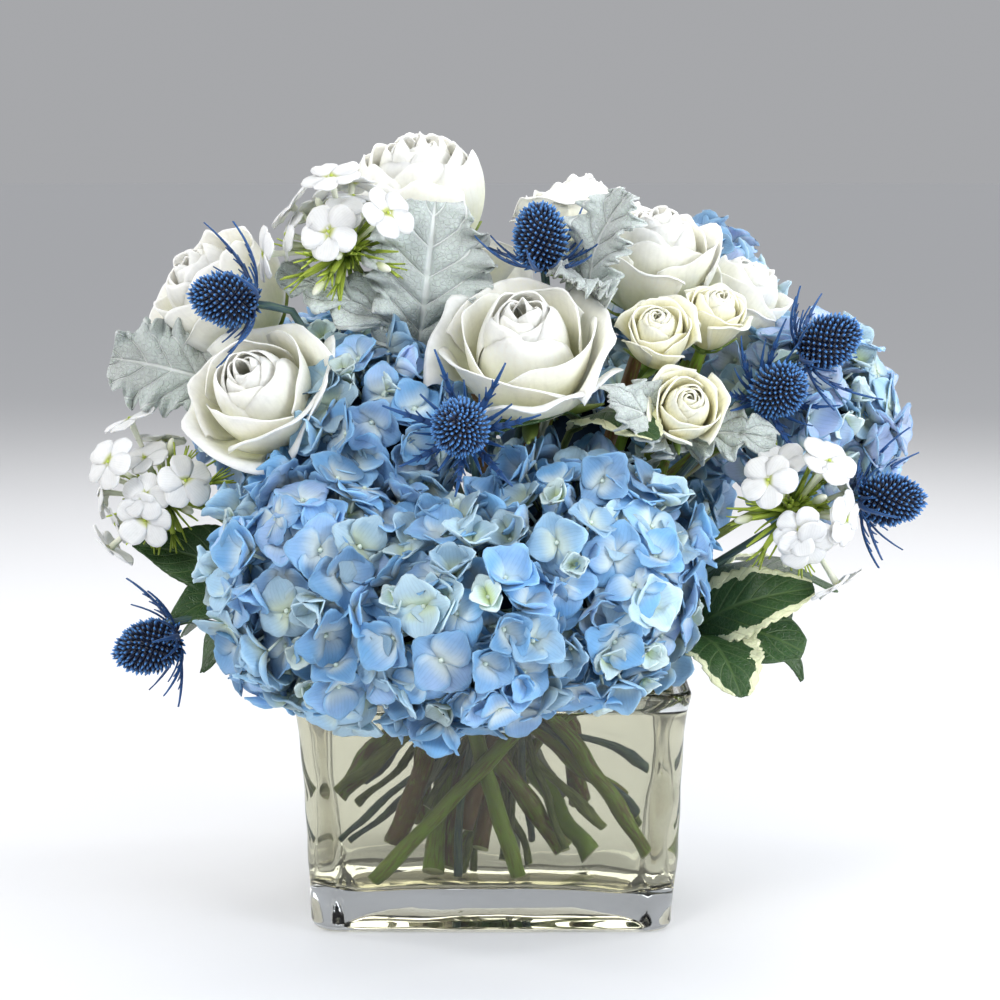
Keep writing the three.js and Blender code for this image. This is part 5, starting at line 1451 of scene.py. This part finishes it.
def make_dusty_millers(settings):
    """The silver felted leaves."""
    colours = (settings.felt, settings.vein, settings.vein)
    finish = {"roughness": 0.9, "bump": 0.9, "under": settings.under, "sheen": 0.4}
    felt = leaf_material("silver felt", colours, SILVER_VEINS, strength=0.55, net=0.38, **finish)
    stalk = streaked_material("silver stem", *SILVER_STEM, 0.8)
    names = [n for n in LEAFY if n.startswith("dusty")]
    make_leafy(names, [felt, stalk], "silver_leaf", 0.9, SILVER_VEINS, 1.0, SEEDS["silver"])


def make_green_leaves(settings):
    """The dark leaves, some with cream toothed margins."""
    colours = (settings.green, settings.vein, settings.margin)
    finish = {"roughness": 0.36, "bump": 0.6, "margin": 0.30}
    leaf = leaf_material("leaf green", colours, GREEN_VEINS, strength=0.5, net=0.35, **finish)
    stalk = streaked_material("leaf stem", *LEAF_STEM, 0.45)
    names = [n for n in LEAFY if not n.startswith("dusty")]
    make_leafy(names, [leaf, stalk], "green_leaf", 0.7, GREEN_VEINS, 0.25, SEEDS["green"])


# ------------------------------------------------------------------ stage

TARGET = (0.0035, 0.0, 0.184)
FLOOR_RADIUS, FLOOR_SIDES, FLOOR_DROP = 30.0, 64, 0.0001
FAR_FLOOR_SHADE = (0.665, 0.66, 0.655)  # painted shade of the far floor: as bright under the whole sky as the horizon is
CAMERA_DISTANCE, CAMERA_ELEVATION = 1.1, math.radians(8)
LENS, SENSOR = 88.07, 36.0
# Each soft light: its place, its size, the setting that it follows and the share of it, and its colour.
LIGHTS = [
    ("key", (-0.8, -1.35, 1.25), (0.6, 0.6), "key", 1.0, (1, 0.985, 0.955)),
    ("fill", (1.3, -0.9, 0.75), (0.8, 1.0), "fill", 1.0, (0.92, 0.96, 1)),
    ("back", (0.2, 1.3, 1.2), (1.6, 0.8), "fill", 0.52, (1, 1, 1)),
    ("left strip", (-1.1, 0.35, 0.8), (0.16, 0.9), "fill", 0.22, (1, 1, 1)),
    ("right strip", (1.1, 0.35, 0.8), (0.16, 0.9), "fill", 0.22, (1, 1, 1)),
]


def aimed(obj, at, target):
    """Puts an object at a place, with its -Z towards a target and its top up."""
    way = np.array(at) - np.array(target)
    flat = math.hypot(way[0], way[1])
    obj.location = at
    obj.rotation_euler = (math.atan2(flat, way[2]), 0, math.atan2(way[0], -way[1]))


def add_light(name, at, size, power, colour):
    """A soft rectangular light that looks at the bouquet and isn't seen itself."""
    light = bpy.data.lights.new(name, "AREA")
    light.shape = "RECTANGLE"
    light.size, light.size_y = size
    light.energy = power
    light.color = colour
    lamp = bpy.data.objects.new(name, light)
    lamp.visible_camera = False
    bpy.context.scene.collection.objects.link(lamp)
    aimed(lamp, at, TARGET)


def make_floor(colour, far_shade_colour):
    """A wide pale floor with painted shade that darkens it a little with its distance, towards the colour of
    the horizon.
    """
    angle = np.arange(FLOOR_SIDES) * 2 * math.pi / FLOOR_SIDES
    ring = [np.cos(angle) * FLOOR_RADIUS, np.sin(angle) * FLOOR_RADIUS, 0 * angle - FLOOR_DROP]
    mesh = bpy.data.meshes.new("floor")
    mesh.from_pydata([tuple(p) for p in np.stack(ring, -1)], [], [tuple(range(FLOOR_SIDES))])
    material, g, shader, _, place = begin("pale floor")
    shade = g.ramp(g.noise(place, 3.0), 0.2, 0.8)
    paler = tuple(min(c * 1.03, 1) for c in colour)
    far = g.node("ShaderNodeVectorMath", {"operation": "LENGTH"}, i0=place).outputs["Value"]
    near = g.blend(shade, colour, paler)
    # Painted shade: from 0.35 m to 2 m out the floor darkens towards the far colour, as if the light fell
    # off.
    g.put(shader.inputs["Base Color"], g.blend(g.ramp(far, 0.35, 2.0), near, far_shade_colour))
    shader.inputs["Roughness"].default_value = 0.5
    shader.inputs["Specular IOR Level"].default_value = 0.2
    mesh.materials.append(material)
    floor = bpy.data.objects.new("floor", mesh)
    bpy.context.scene.collection.objects.link(floor)


def make_sky(horizon, zenith):
    """A soft sky that brightens from the horizon to the zenith."""
    world = bpy.data.worlds.new("soft sky")
    world.use_nodes = True
    g = Graph(world.node_tree)
    way = g.node("ShaderNodeTexCoord").outputs["Generated"]
    height = g.node("ShaderNodeSeparateXYZ", None, i0=way).outputs["Z"]
    colour = g.blend(g.ramp(height, 0.08, 0.95), horizon, zenith)
    g.put(world.node_tree.nodes["Background"].inputs["Color"], colour)
    bpy.context.scene.world = world


def make_stage(settings):
    """A wide pale floor, soft lights, a soft sky and the camera at the photograph's angle."""
    make_floor(settings.floor, FAR_FLOOR_SHADE)
    make_sky(settings.horizon, settings.zenith)
    for name, at, size, follows, share, colour in LIGHTS:
        add_light(name, at, size, getattr(settings, follows) * share, colour)
    bpy.context.scene.view_settings.view_transform = "Standard"
    camera_data = bpy.data.cameras.new("camera")
    camera_data.lens, camera_data.sensor_width = LENS, SENSOR
    camera = bpy.data.objects.new("camera", camera_data)
    bpy.context.scene.collection.objects.link(camera)
    back = math.cos(CAMERA_ELEVATION) * CAMERA_DISTANCE
    rise = math.sin(CAMERA_ELEVATION) * CAMERA_DISTANCE
    aimed(camera, (TARGET[0], TARGET[1] - back, TARGET[2] + rise), TARGET)
    bpy.context.scene.camera = camera


# ------------------------------------------------------------------ operators, panel and main

GROUPS = [
    ("vase", VaseSettings, "Vase and Water"),
    ("stems", StemSettings, "Stems"),
    ("hydrangeas", HydrangeaSettings, "Hydrangeas"),
    ("roses", RoseSettings, "Roses"),
    ("spray_roses", SprayRoseSettings, "Spray Roses"),
    ("thistles", ThistleSettings, "Sea Hollies"),
    ("phloxes", PhloxSettings, "Phlox"),
    ("dusty_millers", DustyMillerSettings, "Dusty Miller"),
    ("green_leaves", LeafSettings, "Green Leaves"),
    ("stage", StageSettings, "Stage"),
]


def settings_of(context, name):
    """The scene's settings for a group."""
    return getattr(context.scene, "bouquet_" + name)


class BOUQUET_OT_vase(bpy.types.Operator):
    """Cast glass vase and the water in it"""

    bl_idname = "bouquet.vase"
    bl_label = "Vase and Water"

    def execute(self, context):
        settings = settings_of(context, "vase")
        make_glass(settings)
        make_water(settings)
        return {"FINISHED"}


class BOUQUET_OT_stems(bpy.types.Operator):
    """Thick stems of the hydrangeas, roses and spray roses"""

    bl_idname = "bouquet.stems"
    bl_label = "Stems"

    def execute(self, context):
        make_stems(settings_of(context, "stems"))
        return {"FINISHED"}


class BOUQUET_OT_hydrangeas(bpy.types.Operator):
    """Eight blue mopheads of four-sepalled florets"""

    bl_idname = "bouquet.hydrangeas"
    bl_label = "Hydrangeas"

    def execute(self, context):
        make_hydrangeas(settings_of(context, "hydrangeas"))
        return {"FINISHED"}


class BOUQUET_OT_roses(bpy.types.Operator):
    """Eight large white roses"""

    bl_idname = "bouquet.roses"
    bl_label = "Roses"

    def execute(self, context):
        make_roses(settings_of(context, "roses"))
        return {"FINISHED"}


class BOUQUET_OT_spray_roses(bpy.types.Operator):
    """Three cream spray roses"""

    bl_idname = "bouquet.spray_roses"
    bl_label = "Spray Roses"

    def execute(self, context):
        make_spray_roses(settings_of(context, "spray_roses"))
        return {"FINISHED"}


class BOUQUET_OT_thistles(bpy.types.Operator):
    """Seven blue sea hollies with spiny collars"""

    bl_idname = "bouquet.thistles"
    bl_label = "Sea Hollies"

    def execute(self, context):
        make_thistles(settings_of(context, "thistles"))
        return {"FINISHED"}


class BOUQUET_OT_phloxes(bpy.types.Operator):
    """Three heads of white phlox with lime-green buds"""

    bl_idname = "bouquet.phloxes"
    bl_label = "Phlox"

    def execute(self, context):
        make_phloxes(settings_of(context, "phloxes"))
        return {"FINISHED"}


class BOUQUET_OT_dusty_millers(bpy.types.Operator):
    """Silver felted leaves with ruffled or deeply cut edges"""

    bl_idname = "bouquet.dusty_millers"
    bl_label = "Dusty Miller"

    def execute(self, context):
        make_dusty_millers(settings_of(context, "dusty_millers"))
        return {"FINISHED"}


class BOUQUET_OT_green_leaves(bpy.types.Operator):
    """Dark green leaves, some with cream margins"""

    bl_idname = "bouquet.green_leaves"
    bl_label = "Green Leaves"

    def execute(self, context):
        make_green_leaves(settings_of(context, "green_leaves"))
        return {"FINISHED"}


class BOUQUET_OT_stage(bpy.types.Operator):
    """Pale floor, soft lights and the camera"""

    bl_idname = "bouquet.stage"
    bl_label = "Stage"

    def execute(self, context):
        make_stage(settings_of(context, "stage"))
        return {"FINISHED"}


class BOUQUET_PT_panel(bpy.types.Panel):
    """The bouquet's pieces in the order they are made"""

    bl_label = "Bouquet"
    bl_idname = "BOUQUET_PT_panel"
    bl_space_type = "VIEW_3D"
    bl_region_type = "UI"
    bl_category = "Bouquet"

    def draw(self, context):
        for name, settings, label in GROUPS:
            box = self.layout.box()
            box.operator("bouquet." + name, text=label)
            for key in settings.__annotations__:
                box.prop(settings_of(context, name), key)


OPERATORS = [BOUQUET_OT_vase, BOUQUET_OT_stems, BOUQUET_OT_hydrangeas, BOUQUET_OT_roses]
OPERATORS += [BOUQUET_OT_spray_roses, BOUQUET_OT_thistles, BOUQUET_OT_phloxes, BOUQUET_OT_dusty_millers]
OPERATORS += [BOUQUET_OT_green_leaves, BOUQUET_OT_stage]
CLASSES = [*(settings for _, settings, _ in GROUPS), *OPERATORS, BOUQUET_PT_panel]


def register():
    for cls in CLASSES:
        bpy.utils.register_class(cls)
    for name, settings, _ in GROUPS:
        setattr(bpy.types.Scene, "bouquet_" + name, PointerProperty(type=settings))


def unregister():
    for name, _, _ in GROUPS:
        delattr(bpy.types.Scene, "bouquet_" + name)
    for cls in reversed(CLASSES):
        bpy.utils.unregister_class(cls)


def main():
    register()
    for name, _, _ in GROUPS:
        getattr(bpy.ops.bouquet, name)()


if __name__ == "__main__":
    main()
